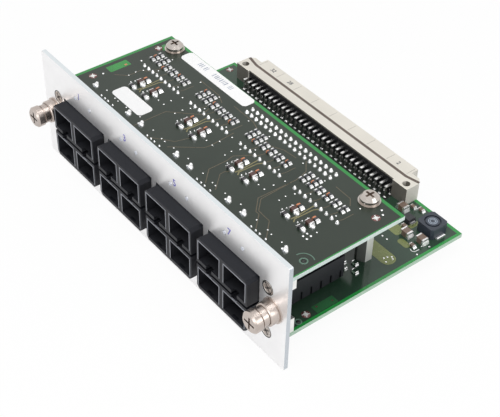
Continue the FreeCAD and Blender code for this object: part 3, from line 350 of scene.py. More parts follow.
# The first entry that a node's name starts with gives its paint.
CAD_PAINT = {
    "front_panel": "panel",
    "main_board": "main",
    "mezzanine_board": "mezzanine",
    "transceiver_pins": "tin",
    "transceiver_": "black",
    "ferrule_sleeves": "sleeve",
    "captive_screw": "nickel",
    "screw_ferrule": "nickel",
    "retaining_ring": "spring",
    "mounting_block": "block",
    "standoff_left": "post",
    "standoff_right": "post",
    "standoff_": "screws",
    "panel_screws": "heads",
    "block_screws": "screws",
    "rear_connector_body": "beige",
    "connector_pins": "pins",
    "header_pins": "pins",
    "header_": "header",
    "status_lights": "resin",
    "power_inductor": "ferrite",
    "inductor_core": "core",
    "rectifier_diode": "chip",
    "bulk_capacitors": "tan",
    "mezzanine_inductors": "brown",
    "mezzanine_capacitors": "cream",
    "mezzanine_resistors": "slate",
    "main_board_chips": "tan",
    "controller_chip": "chip",
    "clock_oscillator": "can",
    "round_corner_sticker": "paper",
    "long_sticker": "paper",
}

for label, thing in nodes.items():
    key = next(start for start in CAD_PAINT if label.startswith(start))
    thing.data.materials.clear()
    thing.data.materials.append(paints[CAD_PAINT[key]])


# ---- forms


def rounded_outline(x0, y0, x1, y1, radius, steps=5):
    """The outline of a rectangle with rounded corners, anticlockwise."""
    outline = []
    corners = [(x1 - radius, y0 + radius, -90), (x1 - radius, y1 - radius, 0)]
    corners += [(x0 + radius, y1 - radius, 90), (x0 + radius, y0 + radius, 180)]
    for x, y, start in corners:
        for step in range(steps + 1):
            angle = math.radians(start + 90 * step / steps)
            outline.append((x + radius * math.cos(angle), y + radius * math.sin(angle)))
    return outline


class Form:
    """A mesh under construction, in millimetres, with a paint for each face."""

    def __init__(self):
        self.points = []
        self.faces = []
        self.paint = []
        self.smooth = []

    def add(self, points, faces, paint=0, smooth=False):
        first = len(self.points)
        self.points += [tuple(p) for p in points]
        for face in faces:
            self.faces.append(tuple(first + i for i in face))
            self.paint.append(paint)
            self.smooth.append(smooth)

    def box(self, low, high, paint=0):
        (x0, y0, z0), (x1, y1, z1) = low, high
        points = [(x, y, z) for z in (z0, z1) for y in (y0, y1) for x in (x0, x1)]
        faces = [(0, 2, 3, 1), (4, 5, 7, 6), (0, 1, 5, 4), (2, 6, 7, 3), (0, 4, 6, 2), (1, 3, 7, 5)]
        self.add(points, faces, paint)

    def soft_box(self, low, high, edge, paint=0):
        """A block with its upper edges cut at a slant."""
        (x0, y0, z0), (x1, y1, z1) = low, high
        points = []
        for inset, z in ((0, z0), (0, z1 - edge), (edge, z1)):
            left, right, front, rear = x0 + inset, x1 - inset, y0 + inset, y1 - inset
            points += [(left, front, z), (right, front, z), (right, rear, z), (left, rear, z)]
        faces = [(3, 2, 1, 0), (8, 9, 10, 11)]
        for ring in (0, 4):
            for i in range(4):
                j = (i + 1) % 4
                faces.append((ring + i, ring + j, ring + 4 + j, ring + 4 + i))
        self.add(points, faces, paint)

    def lathe(self, centre, outline, sides=16, axis=(0, 0, 1), paint=0):
        """Turn (radius, height) points about an axis through the centre."""
        turn = Vector((0, 0, 1)).rotation_difference(Vector(axis)).to_matrix()
        middle = Vector(centre)
        points = []
        for radius, height in outline:
            for step in range(sides):
                angle = 2 * math.pi * step / sides
                spot = Vector((radius * math.cos(angle), radius * math.sin(angle), height))
                points.append(middle + turn @ spot)
        faces = []
        for ring in range(len(outline) - 1):
            for step in range(sides):
                a = ring * sides + step
                b = ring * sides + (step + 1) % sides
                faces.append((a, b, b + sides, a + sides))
        self.add(points, faces, paint, smooth=True)

    def disc(self, x, y, z, radius, height, sides, paint=0):
        self.lathe((x, y, z), [(radius, 0), (radius, height), (0.0, height)], sides, paint=paint)

    def ring(self, x, y, z, outer, inner, height, sides, paint=0):
        outline = [(outer, 0), (outer, height), (inner, height), (inner, 0)]
        self.lathe((x, y, z), outline, sides, paint=paint)

    def ribbon(self, path, width, z, paint=0, lift=0.02):
        """A flat strip of an even width that follows a path of (x, y) points."""
        spots = [Vector(p) for p in path]
        left, right = [], []
        for index, spot in enumerate(spots):
            before = (spot - spots[index - 1]).normalized() if index else None
            after = (spots[index + 1] - spot).normalized() if index + 1 < len(spots) else None
            heading = ((before or after) + (after or before)).normalized()
            side = Vector((-heading.y, heading.x))
            reach = width / 2
            if before and after:
                reach /= max(0.5, abs(side.dot(Vector((-before.y, before.x)))))
            left.append((spot.x + side.x * reach, spot.y + side.y * reach))
            right.append((spot.x - side.x * reach, spot.y - side.y * reach))
        count = len(spots)
        points = [(x, y, z) for x, y in left + right] + [(x, y, z + lift) for x, y in left + right]
        faces = []
        for i in range(count - 1):
            faces.append((2 * count + i, 3 * count + i, 3 * count + i + 1, 2 * count + i + 1))
            faces.append((i, i + 1, 2 * count + i + 1, 2 * count + i)[::-1])
            faces.append((count + i, 3 * count + i, 3 * count + i + 1, count + i + 1)[::-1])
        faces.append((0, 2 * count, 3 * count, count)[::-1])
        faces.append((count - 1, 2 * count - 1, 4 * count - 1, 3 * count - 1)[::-1])
        self.add(points, faces, paint)

    def plate(self, rectangle, z, thickness, paint):
        """A thin rectangle with rounded corners, given by two corners and the radius."""
        outline = rounded_outline(*rectangle)
        count = len(outline)
        points = [(x, y, z) for x, y in outline] + [(x, y, z + thickness) for x, y in outline]
        faces = [tuple(range(count, 2 * count)), tuple(range(count))[::-1]]
        for i in range(count):
            j = (i + 1) % count
            faces.append((i, j, count + j, count + i))
        self.add(points, faces, paint)

    def piece(self, name, materials, body="card"):
        """Make the mesh an object of the scene that rides on a body."""
        mesh = bpy.data.meshes.new(name)
        mesh.from_pydata([tuple(c * MM for c in p) for p in self.points], [], self.faces)
        for material in materials:
            mesh.materials.append(paints[material])
        mesh.polygons.foreach_set("material_index", self.paint)
        mesh.polygons.foreach_set("use_smooth", self.smooth)
        mesh.update()
        made = new_object(name, mesh)
        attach(made, body)


def solid_boxes(node):
    """The box of each separate solid of a node, in millimetres, in a fixed order."""
    mesh = nodes[node].data
    spots = [tuple(round(c / MM, 3) for c in vertex.co) for vertex in mesh.vertices]
    parent = {key: key for key in spots}

    def root(key):
        while parent[key] != key:
            parent[key] = parent[parent[key]]
            key = parent[key]
        return key

    for polygon in mesh.polygons:
        keys = [spots[i] for i in polygon.vertices]
        for key in keys[1:]:
            parent[root(key)] = root(keys[0])
    groups = {}
    for key in parent:
        groups.setdefault(root(key), []).append(key)
    return sorted((tuple(map(min, zip(*keys))), tuple(map(max, zip(*keys)))) for keys in groups.values())


# ---- places on the card

upper_face = span("mezzanine_board")[1][Z]
main_low, main_high = span("main_board")
main_face = main_high[Z]
main_under = main_low[Z]
panel_front = span("front_panel")[0][Y]
body_low, body_high = span("rear_connector_body")
COLUMNS = [box_middle(*span(f"transceiver_upper_{number}"))[X] for number in range(1, 5)]


# ---- soldered joints

# Outlines as shares of a joint's radius and height.
FILLET = [(1.0, 0.0), (0.9, 0.16), (0.72, 0.42), (0.5, 0.7), (0.28, 0.92), (0.0, 1.0)]
DOME = [(1.0, 0.0), (0.96, 0.28), (0.84, 0.55), (0.64, 0.78), (0.36, 0.94), (0.0, 1.0)]
UNEVENNESS = 0.08
# A solid that is wider than this is a post and not a pin.
POST_WIDTH = 1.0
# The joint of a post is three blobs that run together: x and y from the post, radius, height, sides.
POST_BLOBS = ((0.15, -0.25, 1.15, 1.15, 16), (-0.75, 0.75, 0.75, 1.0, 12), (-1.15, -0.35, 0.5, 0.4, 12))
LAMP_JOINTS_Y = 8.6
LAMP_JOINTS_DX = (-4.3, -2.1, -0.2, 2.7)
# How far behind the front of a bent connector pin its leg goes through the board.
LEG_BEHIND_FRONT = 0.25


def fillet(form, x, y, z, radius, height, up=1, sides=12, outline=FILLET):
    """A soldered joint, each a little larger or smaller than the next."""
    size = 1 + rng.uniform(-UNEVENNESS, UNEVENNESS)
    turned = [(r * radius * size, h * height * size) for r, h in outline]
    form.lathe((x, y, z), turned, sides, axis=(0, 0, up))


def upper_joints():
    """The solder side of the upper board: transceivers, header and light-emitting diodes."""
    form = Form()
    for low, high in solid_boxes("transceiver_pins_upper"):
        x, y, _ = box_middle(low, high)
        if high[X] - low[X] > POST_WIDTH:
            for dx, dy, radius, height, sides in POST_BLOBS:
                fillet(form, x + dx, y + dy, upper_face, radius, height, sides=sides, outline=DOME)
        else:
            fillet(form, x, y, upper_face, 0.72, 1.0)
    for low, high in solid_boxes("header_pins"):
        if high[Z] > upper_face:
            x, y, _ = box_middle(low, high)
            fillet(form, x, y, upper_face, 0.76, 1.05)
    for column in COLUMNS:
        for dx in LAMP_JOINTS_DX:
            fillet(form, column + dx, LAMP_JOINTS_Y, upper_face, 0.42, 0.5, sides=10)
    form.piece("solder_joints_upper", ["solder"])


def lower_joints():
    """The underside of the main board, and the rear connector's legs above it."""
    form = Form()
    connector_pins = ("connector_pins_a", "connector_pins_b", "connector_pins_c")
    for node in ("transceiver_pins_lower", "header_pins") + connector_pins:
        for low, high in solid_boxes(node):
            if low[Z] > main_under:
                continue
            x, y, _ = box_middle(low, high)
            if node in connector_pins:
                y = low[Y] + LEG_BEHIND_FRONT
            radius, height = (1.3, 1.0) if high[X] - low[X] > POST_WIDTH else (0.85, 0.85)
            fillet(form, x, y, main_under, radius, height, up=-1, sides=10)
            if node in connector_pins:
                fillet(form, x, y, main_face, 0.66, 0.55, sides=10)
    form.piece("solder_joints_lower", ["solder"])


upper_joints()
lower_joints()


# ---- chip ends

TIN, ORANGE = 0, 1
SWELL = 0.04
SKIRT = 0.06
END_BEVEL, END_BEVEL_SHARE = 0.14, 0.2
# Behind this line the upper board's small light chips have an orange end.
FRONT_CHIPS_END = 22
# Joints left of each brown chip: x and y from its middle, and radius.
GROUP_DOTS = ((-2.3, -0.9, 0.32), (-2.7, -2.4, 0.34), (-2.2, 1.2, 0.3))


def longer_axis(low, high):
    return X if high[X] - low[X] >= high[Y] - low[Y] else Y


def chip_end(form, low, high, along, side, share, foot, reach=0.42, paint=TIN):
    """One end cap of a chip, with solder that climbs it from the pad.

    The cap takes a share of the chip's length. The solder climbs to a foot's share of its height.
    """
    across = 1 - along
    cap = (high[along] - low[along]) * share
    rise = high[Z] - low[Z]
    near = [low[X] - SWELL, low[Y] - SWELL, low[Z]]
    far = [c + SWELL for c in high]
    if side < 0:
        far[along] = low[along] + cap
    else:
        near[along] = high[along] - cap
    form.soft_box(near, far, min(END_BEVEL, rise * END_BEVEL_SHARE), paint)
    face = far[along] if side > 0 else near[along]
    out = face + reach * side
    inner = face - 0.05 * side
    wedge = ((inner, rise * foot, 0.0), (out, SKIRT, SKIRT), (out, 0.0, SKIRT), (inner, 0.0, SKIRT))
    corners = []
    for spot, height, grow in wedge:
        for edge in (near[across] - grow, far[across] + grow):
            corner = [0, 0, low[Z] + height]
            corner[along] = spot
            corner[across] = edge
            corners.append(tuple(corner))
    faces = [(0, 1, 3, 2), (2, 3, 5, 4), (4, 5, 7, 6), (0, 2, 4, 6), (1, 7, 5, 3), (0, 6, 7, 1)]
    form.add(corners, faces, TIN)


def row_chip_ends():
    """The resistors in rows, where every fifth has an orange mark at one end."""
    form = Form()
    for index, (low, high) in enumerate(solid_boxes("mezzanine_resistors")):
        for side in (-1, 1):
            paint = ORANGE if side < 0 and index % 5 == 1 else TIN
            chip_end(form, low, high, longer_axis(low, high), side, 0.28, 0.7, paint=paint)
    form.piece("row_chip_ends", ["solder", "orange"])


def group_chip_ends():
    """The groups of brown and light chips behind each transceiver."""
    form = Form()
    for low, high in solid_boxes("mezzanine_inductors"):
        chip_end(form, low, high, X, -1, 0.16, 0.6, 0.25)
        chip_end(form, low, high, X, 1, 0.2, 0.7, 0.3)
        x, y, _ = box_middle(low, high)
        fillet(form, high[X] + 0.75, y - 0.2, upper_face, 0.85, 1.0, outline=DOME)
        for dx, dy, radius in GROUP_DOTS:
            fillet(form, x + dx, y + dy, upper_face, radius, 0.45, sides=8)
    for low, high in solid_boxes("mezzanine_capacitors"):
        if high[Y] < FRONT_CHIPS_END:
            y = box_middle(low, high)[Y]
            chip_end(form, low, high, X, 1, 0.3, 0.9, 0.5)
            fillet(form, high[X] + 0.35, y - 0.1, upper_face, 0.85, 1.1, outline=DOME)
            chip_end(form, low, high, X, -1, 0.14, 0.7, 0.2)
            for dy in (-0.35, 0.35):
                lead = y + dy
                form.box((low[X] - 0.75, lead - 0.1, low[Z]), (low[X], lead + 0.1, low[Z] + 0.3), TIN)
        else:
            chip_end(form, low, high, X, -1, 0.34, 0.6, 0.2, paint=ORANGE)
            chip_end(form, low, high, X, 1, 0.3, 0.9, 0.45)
    form.piece("group_chip_ends", ["solder", "orange"])


def lower_chip_ends():
    """The chips on the main board."""
    form = Form()
    for node, foot, reach in (("bulk_capacitors", 0.7, 0.5), ("main_board_chips", 0.6, 0.25)):
        for low, high in solid_boxes(node):
            for side in (-1, 1):
                chip_end(form, low, high, longer_axis(low, high), side, 0.2, foot, reach)
    form.piece("chip_ends_lower", ["solder"])


row_chip_ends()
group_chip_ends()
lower_chip_ends()


# ---- printed copper, upper board

TRACE_WIDTH, THIN_TRACE, WIDE_TRACE = 0.26, 0.22, 0.42
LONG_TRACES = [
    [(27.6, 38.8), (28.9, 33.6), (28.5, 18.5), (33.1, 14.0), (34.6, 14.0), (39.6, 8.8)],
    [(28.9, 31.0), (29.4, 18.9), (33.3, 14.9), (38.9, 14.6), (44.6, 8.9)],
    [(11.0, 30.6), (7.3, 24.8), (8.0, 22.0), (8.0, 14.6), (12.9, 9.6)],
    [(13.4, 20.4), (12.0, 17.7), (12.1, 16.0), (17.4, 10.2)],
    [(-2.2, 32.5), (-1.4, 22.0), (-1.8, 19.9), (-9.4, 10.4)],
    [(-8.7, 19.2), (-10.1, 14.1), (-17.6, 8.1)],
    [(-18.0, 34.0), (-16.6, 30.0), (-25.4, 21.0), (-25.4, 8.0)],
    [(-46.0, 32.4), (-50.6, 27.8), (-50.6, 22.6), (-54.0, 19.0)],
    [(7.5, 38.4), (10.4, 37.9), (14.8, 40.1), (20.4, 40.7)],
    [(-14.0, 41.6), (-3.0, 41.4), (2.0, 39.6)],
    [(23.5, 42.3), (27.6, 38.8)],
    [(-33.0, 41.4), (-22.0, 41.2), (-18.0, 39.4)],
    [(39.0, 41.6), (46.0, 41.4), (48.6, 39.0)],
]
# Two wide traces of each transceiver, with x from its middle.
FEED_TRACES = (
    ((0.3, 20.4), (0.4, 22.4), (-0.1, 30.0)),
    ((1.9, 20.2), (0.95, 21.4), (1.2, 28.6), (2.1, 30.5)),
)
# Short traces from the chip rows to the rear: x from a transceiver's middle, and where they end.
ROW_TRACES = ((-6.1, 34.2), (-2.0, 34.2), (2.2, 34.2), (6.0, 34.2), (9.6, 37.4))
# Vias of each transceiver, with x from its middle.
COLUMN_VIAS = (
    (-8.8, 22.9), (-8.9, 26.0), (-8.0, 28.8), (-5.6, 11.8), (0.0, 11.7), (1.9, 11.5),
    (6.5, 11.7), (9.5, 22.8), (12.6, 22.8), (12.5, 26.2), (13.2, 30.5), (13.6, 12.4),
    (7.6, 32.6), (-5.0, 32.8), (9.6, 40.6), (-7.4, 40.8),
)
LAST_VIA_X = 54
VIA_STRAY = 0.2
LARGE_VIAS = (
    (50.3, 18.5), (50.2, 20.2), (51.7, 20.4), (52.0, 18.6),
    (57.7, 44.4), (55.9, 45.6), (-56.9, 16.2), (-55.5, 31.5),
)
SMALL_VIA = [(0.29, 0), (0.25, 0.07), (0.12, 0.1), (0.0, 0.1)]
LARGE_VIA = [(0.4, 0), (0.36, 0.1), (0.14, 0.14), (0.0, 0.14)]
UPPER_HOLE = (58.7, 11.7)
ARC_RADIUS = 3.3


def printed_copper_upper():
    """Traces and vias under the upper board's mask, and the ring and arc at its right front corner."""
    form = Form()
    tan, wide, via, ring, hole = range(5)
    for path in LONG_TRACES:
        form.ribbon(path, TRACE_WIDTH, upper_face, tan)
    for column in COLUMNS:
        for path in FEED_TRACES:
            form.ribbon([(column + dx, y) for dx, y in path], WIDE_TRACE, upper_face, wide)
        for dx, end in ROW_TRACES:
            path = [(column + dx, 31.2), (column + dx + 0.5, 33.2), (column + dx + 0.5, end)]
            form.ribbon(path, THIN_TRACE, upper_face, tan)
    for column in COLUMNS:
        for dx, y in COLUMN_VIAS:
            x = column + dx + rng.uniform(-VIA_STRAY, VIA_STRAY)
            y += rng.uniform(-VIA_STRAY, VIA_STRAY)
            if x < LAST_VIA_X:
                form.lathe((x, y, upper_face), SMALL_VIA, 10, paint=via)
    for x, y in LARGE_VIAS:
        form.lathe((x, y, upper_face), LARGE_VIA, 10, paint=via)
    form.ring(*UPPER_HOLE, upper_face, 1.45, 0.95, 0.05, 28, ring)
    # A dark disc in the hole: painted shade.
    form.disc(*UPPER_HOLE, upper_face, 0.8, 0.03, 24, hole)
    arc = []
    for degrees in range(60, 181, 10):
        angle = math.radians(degrees)
        dx, dy = ARC_RADIUS * math.cos(angle), ARC_RADIUS * math.sin(angle)
        arc.append((UPPER_HOLE[X] + dx, UPPER_HOLE[Y] + dy))
    form.ribbon(arc, 0.35, upper_face, ring)
    finishes = ["tan_trace", "wide_trace", "solder", "ring", "hole"]
    form.piece("printed_copper_upper", finishes)


printed_copper_upper()


# ---- printed marks, upper board

GREEN, INK, RED, SPOT = 0, 1, 2, 3
# Two short and two long strokes make a star: their angles and how far they reach.
STAR = ((22, 0.85), (67, 1.25), (112, 0.85), (157, 1.25))


def fiducial(form, x, y, z):
    """A registration mark: a pale star in a dark red disc."""
    form.disc(x, y, z, 1.5, 0.02, 24, RED)
    for index, (angle, reach) in enumerate(STAR):
        heading = Vector((math.cos(math.radians(angle)), math.sin(math.radians(angle))))
        start, end = Vector((x, y)) - heading * reach, Vector((x, y)) + heading * reach
        form.ribbon([start, end], 0.4 if index % 2 else 0.26, z + 0.015, INK, 0.03 + 0.01 * index)


def printed_marks_upper():
    form = Form()
    form.plate((-59.4, 18.8, -55.8, 27.4, 0.2), upper_face, 0.02, GREEN)
    form.plate((-57.2, 25.2, -56.4, 26.2, 0.1), upper_face + 0.02, 0.02, SPOT)
    form.disc(-57.2, 43.6, upper_face, 2.1, 0.015, 24, GREEN)
    for x, y in ((-57.8, 12.5), (-58.4, 41.0), (57.5, 41.7)):
        fiducial(form, x, y, upper_face)
    form.piece("printed_marks_upper", ["light_green", "white_ink", "red_ink", "orange"])


def sticker_strokes():
    """Plain strokes of uneven width where the long sticker has its printing."""
    form = Form()
    low, high = span("long_sticker")
    x = low[X] + 6.5
    while x < high[X] - 11:
        width = 0.22 + 0.3 * rng.random()
        if rng.random() < 0.7:
            form.box((x, low[Y] + 2.2, high[Z]), (x + width, low[Y] + 4.2, high[Z] + 0.01))
        x += width + 0.35 + 0.5 * rng.random()
    form.piece("sticker_strokes", ["pale_ink"])


printed_marks_upper()
sticker_strokes()


# ---- printed copper and marks, main board

# Two corners and a corner radius.
COPPER_FIELDS = (
    (40.0, 48.2, 58.8, 53.7, 2.5),
    (43.8, 60.9, 50.0, 65.2, 1.0),
    (51.6, 59.1, 56.3, 61.6, 1.0),
    (48.4, 67.2, 50.4, 71.4, 0.6),
    (38.6, 66.0, 43.4, 69.0, 1.2),
)
FIELD_VIAS = (
    (55.5, 51.5), (56.3, 52.7), (57.2, 52.3), (56.9, 49.6),
    (55.2, 50.2), (47.0, 57.2), (49.1, 57.3),
)
LOOSE_VIAS = (
    (60.4, 60.2), (43.5, 58.6), (60.2, 66.0), (38.2, 60.0),
    (30.0, 68.4), (12.0, 66.5), (-25.0, 60.2),
)
FIELD_VIA = [(0.36, 0), (0.3, 0.08), (0.12, 0.1), (0.0, 0.1)]
LOOSE_VIA = [(0.34, 0), (0.3, 0.05), (0.12, 0.06), (0.0, 0.03)]
MAIN_HOLE = (60.0, 9.9)
BUS_TRACES, BUS_LEFT, BUS_PITCH = 16, -54, 6.1


def printed_copper_main():
    """Copper fields, vias, a ring, the shaded strip below the pins, two legend strokes and a bus."""
    form = Form()
    area, via, ring, line, hole, shadow, legend = range(7)
    for field in COPPER_FIELDS:
        form.plate(field, main_face, 0.03, area)
    for spots, outline in ((FIELD_VIAS, FIELD_VIA), (LOOSE_VIAS, LOOSE_VIA)):
        for x, y in spots:
            form.lathe((x, y, main_face), outline, 10, paint=via)
    form.ring(*MAIN_HOLE, main_face, 1.3, 0.75, 0.04, 28, ring)
    # A dark disc in the hole: painted shade.
    form.disc(*MAIN_HOLE, main_face, 0.72, 0.03, 20, hole)
    form.plate((-47.2, 66.4, 34.2, 74.2, 1.0), main_face, 0.02, shadow)
    form.ribbon([(58.6, 63.7), (58.3, 67.7)], 0.25, main_face, legend)
    form.ribbon([(57.1, 60.2), (58.2, 59.8), (59.0, 60.3), (59.2, 62.3)], 0.25, main_face, legend)
    for index in range(BUS_TRACES):
        x = BUS_LEFT + BUS_PITCH * index
        rear = 65.6 + (index % 3) * 0.4
        front = index % 4
        path = [(x, rear), (x + 1.4, rear - 2.0), (x + 1.4, 50.5 - front), (x + 3.0, 48.6 - front)]
        form.ribbon(path, 0.24, main_face, line)
    finishes = ["copper", "solder", "ring", "tan_trace", "hole", "shadow_green", "white_ink"]
    form.piece("printed_copper_main", finishes)


def printed_marks_main():
    form = Form()
    form.plate((57.7, 17.0, 60.9, 25.6, 0.3), main_face, 0.02, GREEN)
    form.plate((58.2, 18.2, 58.9, 18.9, 0.1), main_face + 0.02, 0.02, SPOT)
    form.plate((59.2, 24.0, 59.8, 24.6, 0.1), main_face + 0.02, 0.02, SPOT)
    fiducial(form, 59.1, 13.8, main_face)
    fiducial(form, -59.4, 74.6, main_face)
    form.piece("printed_marks_main", ["dim_green", "white_ink", "red_ink", "brown"])


printed_copper_main()
printed_marks_main()


# ---- leads and inductor marks

LEAD_PITCH, LEAD_WIDTH, LEAD_THICKNESS, LEAD_SINK = 1.27, 0.42, 0.14, 0.1
LEAD_MARGIN = 1.2
# Radius, half the width, height from the core's top, thickness and sides.
INDUCTOR_RINGS = ((3.1, 0.15, -0.6, 0.03, 40), (0.9, 0.14, 0.0, 0.02, 32), (1.45, 0.14, 0.0, 0.02, 32))


def gull_leads(form, node):
    """Bent leads along the front and the rear of a chip, down to the board."""
    low, high = span(node)
    count = int((high[X] - low[X] - LEAD_MARGIN) / LEAD_PITCH)
    start = (low[X] + high[X]) / 2 - LEAD_PITCH * (count - 1) / 2
    rise = (high[Z] - low[Z]) / 2
    path = [(-0.1, rise), (0.45, rise), (0.75, 0.16), (1.35, 0.12)]
    faces = []
    for k in range(len(path) - 1):
        a = 4 * k
        faces += [(a, a + 4, a + 5, a + 1), (a + 2, a + 3, a + 7, a + 6)]
        faces += [(a, a + 2, a + 6, a + 4), (a + 1, a + 5, a + 7, a + 3)]
    faces += [(0, 1, 3, 2), (12, 14, 15, 13)]
    for side in (-1, 1):
        face = high[Y] if side > 0 else low[Y]
        for index in range(count):
            middle = start + LEAD_PITCH * index
            points = []
            for reach, height in path:
                for thick in (0.0, LEAD_THICKNESS):
                    for half in (-LEAD_WIDTH / 2, LEAD_WIDTH / 2):
                        z = low[Z] + height + thick - LEAD_SINK
                        points.append((middle + half, face + reach * side, z))
            form.add(points, faces)


def component_leads():
    """Leads of the controller chips, and the tabs of the diode and the inductor."""
    form = Form()
    for node in ("controller_chip_left", "controller_chip_right"):
        gull_leads(form, node)
    low, high = span("rectifier_diode")
    y = box_middle(low, high)[Y]
    form.box((low[X] - 0.9, y - 0.9, low[Z]), (low[X] + 0.3, y + 0.9, low[Z] + 0.45))
    start = (high[X] - 0.25, low[Y] + 0.35, low[Z])
    end = (high[X] + 0.85, high[Y] - 0.35, low[Z] + 1.25)
    form.soft_box(start, end, 0.4)
    low, high = span("power_inductor")
    for edge in (low[X] - 0.9, high[X] - 0.1):
        form.soft_box((edge, low[Y] + 1.9, low[Z]), (edge + 1.0, high[Y] - 1.9, low[Z] + 0.75), 0.25)
    form.piece("component_leads", ["solder"])


def inductor_marks():
    """Rings in place of the inductor's marking."""
    form = Form()
    low, high = span("inductor_core")
    x, y, _ = box_middle(low, high)
    for radius, half, dz, thick, sides in INDUCTOR_RINGS:
        form.ring(x, y, high[Z] + dz, radius + half, radius - half, thick, sides)
    form.piece("inductor_marks", ["coil"])


component_leads()
inductor_marks()


# ---- rear connector marks

CONTACTS_PER_ROW = 32
CONTACT_PITCH = 2.54
CONTACTS_PER_DIVISION = 4
DIVISION_MARGIN = 5
BEAM_FRONT = 74.2
BAR_HALF = 0.46
pins_low, pins_high = span("connector_pins_c")


def division_marks():
    """Thin lines that divide the rear rail, and the long groove before it, a painted shadow band that bends
    back at both ends.
    """
    form = Form()
    line, groove = 0, 1
    first = box_middle(body_low, body_high)[X] - CONTACT_PITCH * (CONTACTS_PER_ROW - 1) / 2
    for index in range(0, CONTACTS_PER_ROW + 1, CONTACTS_PER_DIVISION):
        x = first - CONTACT_PITCH / 2 + CONTACT_PITCH * index
        if body_low[X] + DIVISION_MARGIN < x < body_high[X] - DIVISION_MARGIN:
            form.box((x - 0.06, 79.5, body_high[Z] - 0.01), (x + 0.06, 83.6, body_high[Z] + 0.01), line)
    left, right = body_low[X] + 0.2, body_high[X] - 0.2
    path = [(left, 79.65), (-48.0, 78.5), (-47.9, 78.48), (35.0, 78.48), (right, 79.65)]
    # The groove band is a joint drawn wide as a painted shadow.
    form.ribbon(path, 1.15, body_high[Z], groove, 0.01)
    form.piece("division_marks", ["dark_line", "groove"])


def contact_shade_wall():
    """A dark wall behind the bent pins, as painted shade."""
    form = Form()
    low = (pins_low[X] - 0.9, BEAM_FRONT - 0.12, main_face)
    high = (pins_high[X] + 0.9, BEAM_FRONT + 0.02, body_high[Z] - 0.7)
    form.box(low, high)
    form.piece("contact_shade_wall", ["pin_shade"])


def contact_bars():
    """The broad bright backs of the top row of pins."""
    form = Form()
    for low, high in solid_boxes("connector_pins_c"):
        x = box_middle(low, high)[X]
        start = (x - BAR_HALF, pins_low[Y] - 0.05, high[Z] - 0.5)
        form.soft_box(start, (x + BAR_HALF, BEAM_FRONT, high[Z] + 0.06), 0.14)
    form.piece("contact_bars", ["bars"])


division_marks()
contact_shade_wall()
contact_bars()


# ---- socket rims and insides, a painted highlight and painted shade

SOCKET_NEAR, SOCKET_FAR, SOCKET_SILL, SOCKET_TALL = 1.15, 11.55, 1.3, 7.6
SOCKET_BACK = 6.9
KEY_MIDDLE, KEY_HALF, KEY_DEPTH = 6.35, 1.4, 1.2
RIM_WIDTH, RIM_PROUD, RIM_SINK = 0.32, 0.1, 0.3
LINER_START, LINER_THICKNESS = 0.35, 0.06


def socket_rims():
    """A grey rim on three sides of each opening as a painted highlight, and a dark lining as painted shade,
    which leaves its key notch free.
    """
    form = Form()
    rim, inside = 0, 1
    for level in ("lower", "upper"):
        for number, column in enumerate(COLUMNS, 1):
            low, _ = span(f"transceiver_{level}_{number}")
            y0, y1 = low[Y] - RIM_PROUD, low[Y] + RIM_SINK
            start = low[Y] + LINER_START
            z0 = low[Z] + SOCKET_SILL
            z1 = z0 + SOCKET_TALL
            for side in (-1, 1):
                x0, x1 = sorted((column + side * SOCKET_NEAR, column + side * SOCKET_FAR))
                key = column + side * KEY_MIDDLE
                # The grey rim: a painted highlight on the front edges of the opening.
                form.box((x0 - RIM_WIDTH, y0, z0), (x0, y1, z1 + RIM_WIDTH), rim)
                form.box((x1, y0, z0), (x1 + RIM_WIDTH, y1, z1 + RIM_WIDTH), rim)
                form.box((x0, y0, z1), (x1, y1, z1 + RIM_WIDTH), rim)
                # The dark lining: painted shade on the sides, the ceiling, the back and the floor.
                form.box((x0, start, z0), (x0 + LINER_THICKNESS, SOCKET_BACK, z1), inside)
                form.box((x1 - LINER_THICKNESS, start, z0), (x1, SOCKET_BACK, z1), inside)
                form.box((x0, start, z1 - LINER_THICKNESS), (x1, SOCKET_BACK, z1), inside)
                form.box((x0, SOCKET_BACK - LINER_THICKNESS, z0), (x1, SOCKET_BACK, z1), inside)
                for left, right, front in (
                    (x0, key - KEY_HALF, start),
                    (key + KEY_HALF, x1, start),
                    (key - KEY_HALF, key + KEY_HALF, low[Y] + KEY_DEPTH),
                ):
                    form.box((left, front, z0), (right, SOCKET_BACK, z0 + LINER_THICKNESS), inside)
    form.piece("socket_rims", ["frame", "socket_shade"])


socket_rims()


# ---- numbers on the panel and the connector

DIGIT_PROUD = 0.015
PANEL_DIGIT, PIN_DIGIT = 3.7, 2.4
PANEL_DIGIT_DX = -2.2
TOP_DIGIT_Z, BOTTOM_DIGIT_Z = 36.6, 2.6
PIN_DIGIT_Y = 81.4
PIN_NUMBERS = (("32", -41.0), ("28", -31.0), ("2", 28.2))


def number_piece(name, text, size, placing, paint):
    """Plain digits, a hair proud of the surface they are printed on."""
    curve = bpy.data.curves.new(name, "FONT")
    curve.body = text
    curve.size = size * MM
    curve.offset = 0.02 * MM
    curve.extrude = DIGIT_PROUD * MM
    curve.align_x = curve.align_y = "CENTER"
    holder = new_object(name, curve)
    holder.matrix_world = placing
    bpy.context.view_layer.update()
    mesh = bpy.data.meshes.new_from_object(holder.evaluated_get(bpy.context.evaluated_depsgraph_get()))
    mesh.transform(holder.matrix_world)
    bpy.data.objects.remove(holder)
    mesh.materials.clear()
    mesh.materials.append(paints[paint])
    made = new_object(name, mesh)
    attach(made, "card")


def panel_number(text, x, z):
    place = Matrix.Translation((x * MM, (panel_front - DIGIT_PROUD) * MM, z * MM))
    upright = Matrix.Rotation(math.pi / 2, 4, "X")
    number_piece("panel_number_" + text, text, PANEL_DIGIT, place @ upright, "panel_ink")


for index, column in enumerate(COLUMNS):
    panel_number(str(2 * index + 1), column + PANEL_DIGIT_DX, TOP_DIGIT_Z)
    panel_number(str(2 * index + 2), column + PANEL_DIGIT_DX, BOTTOM_DIGIT_Z)

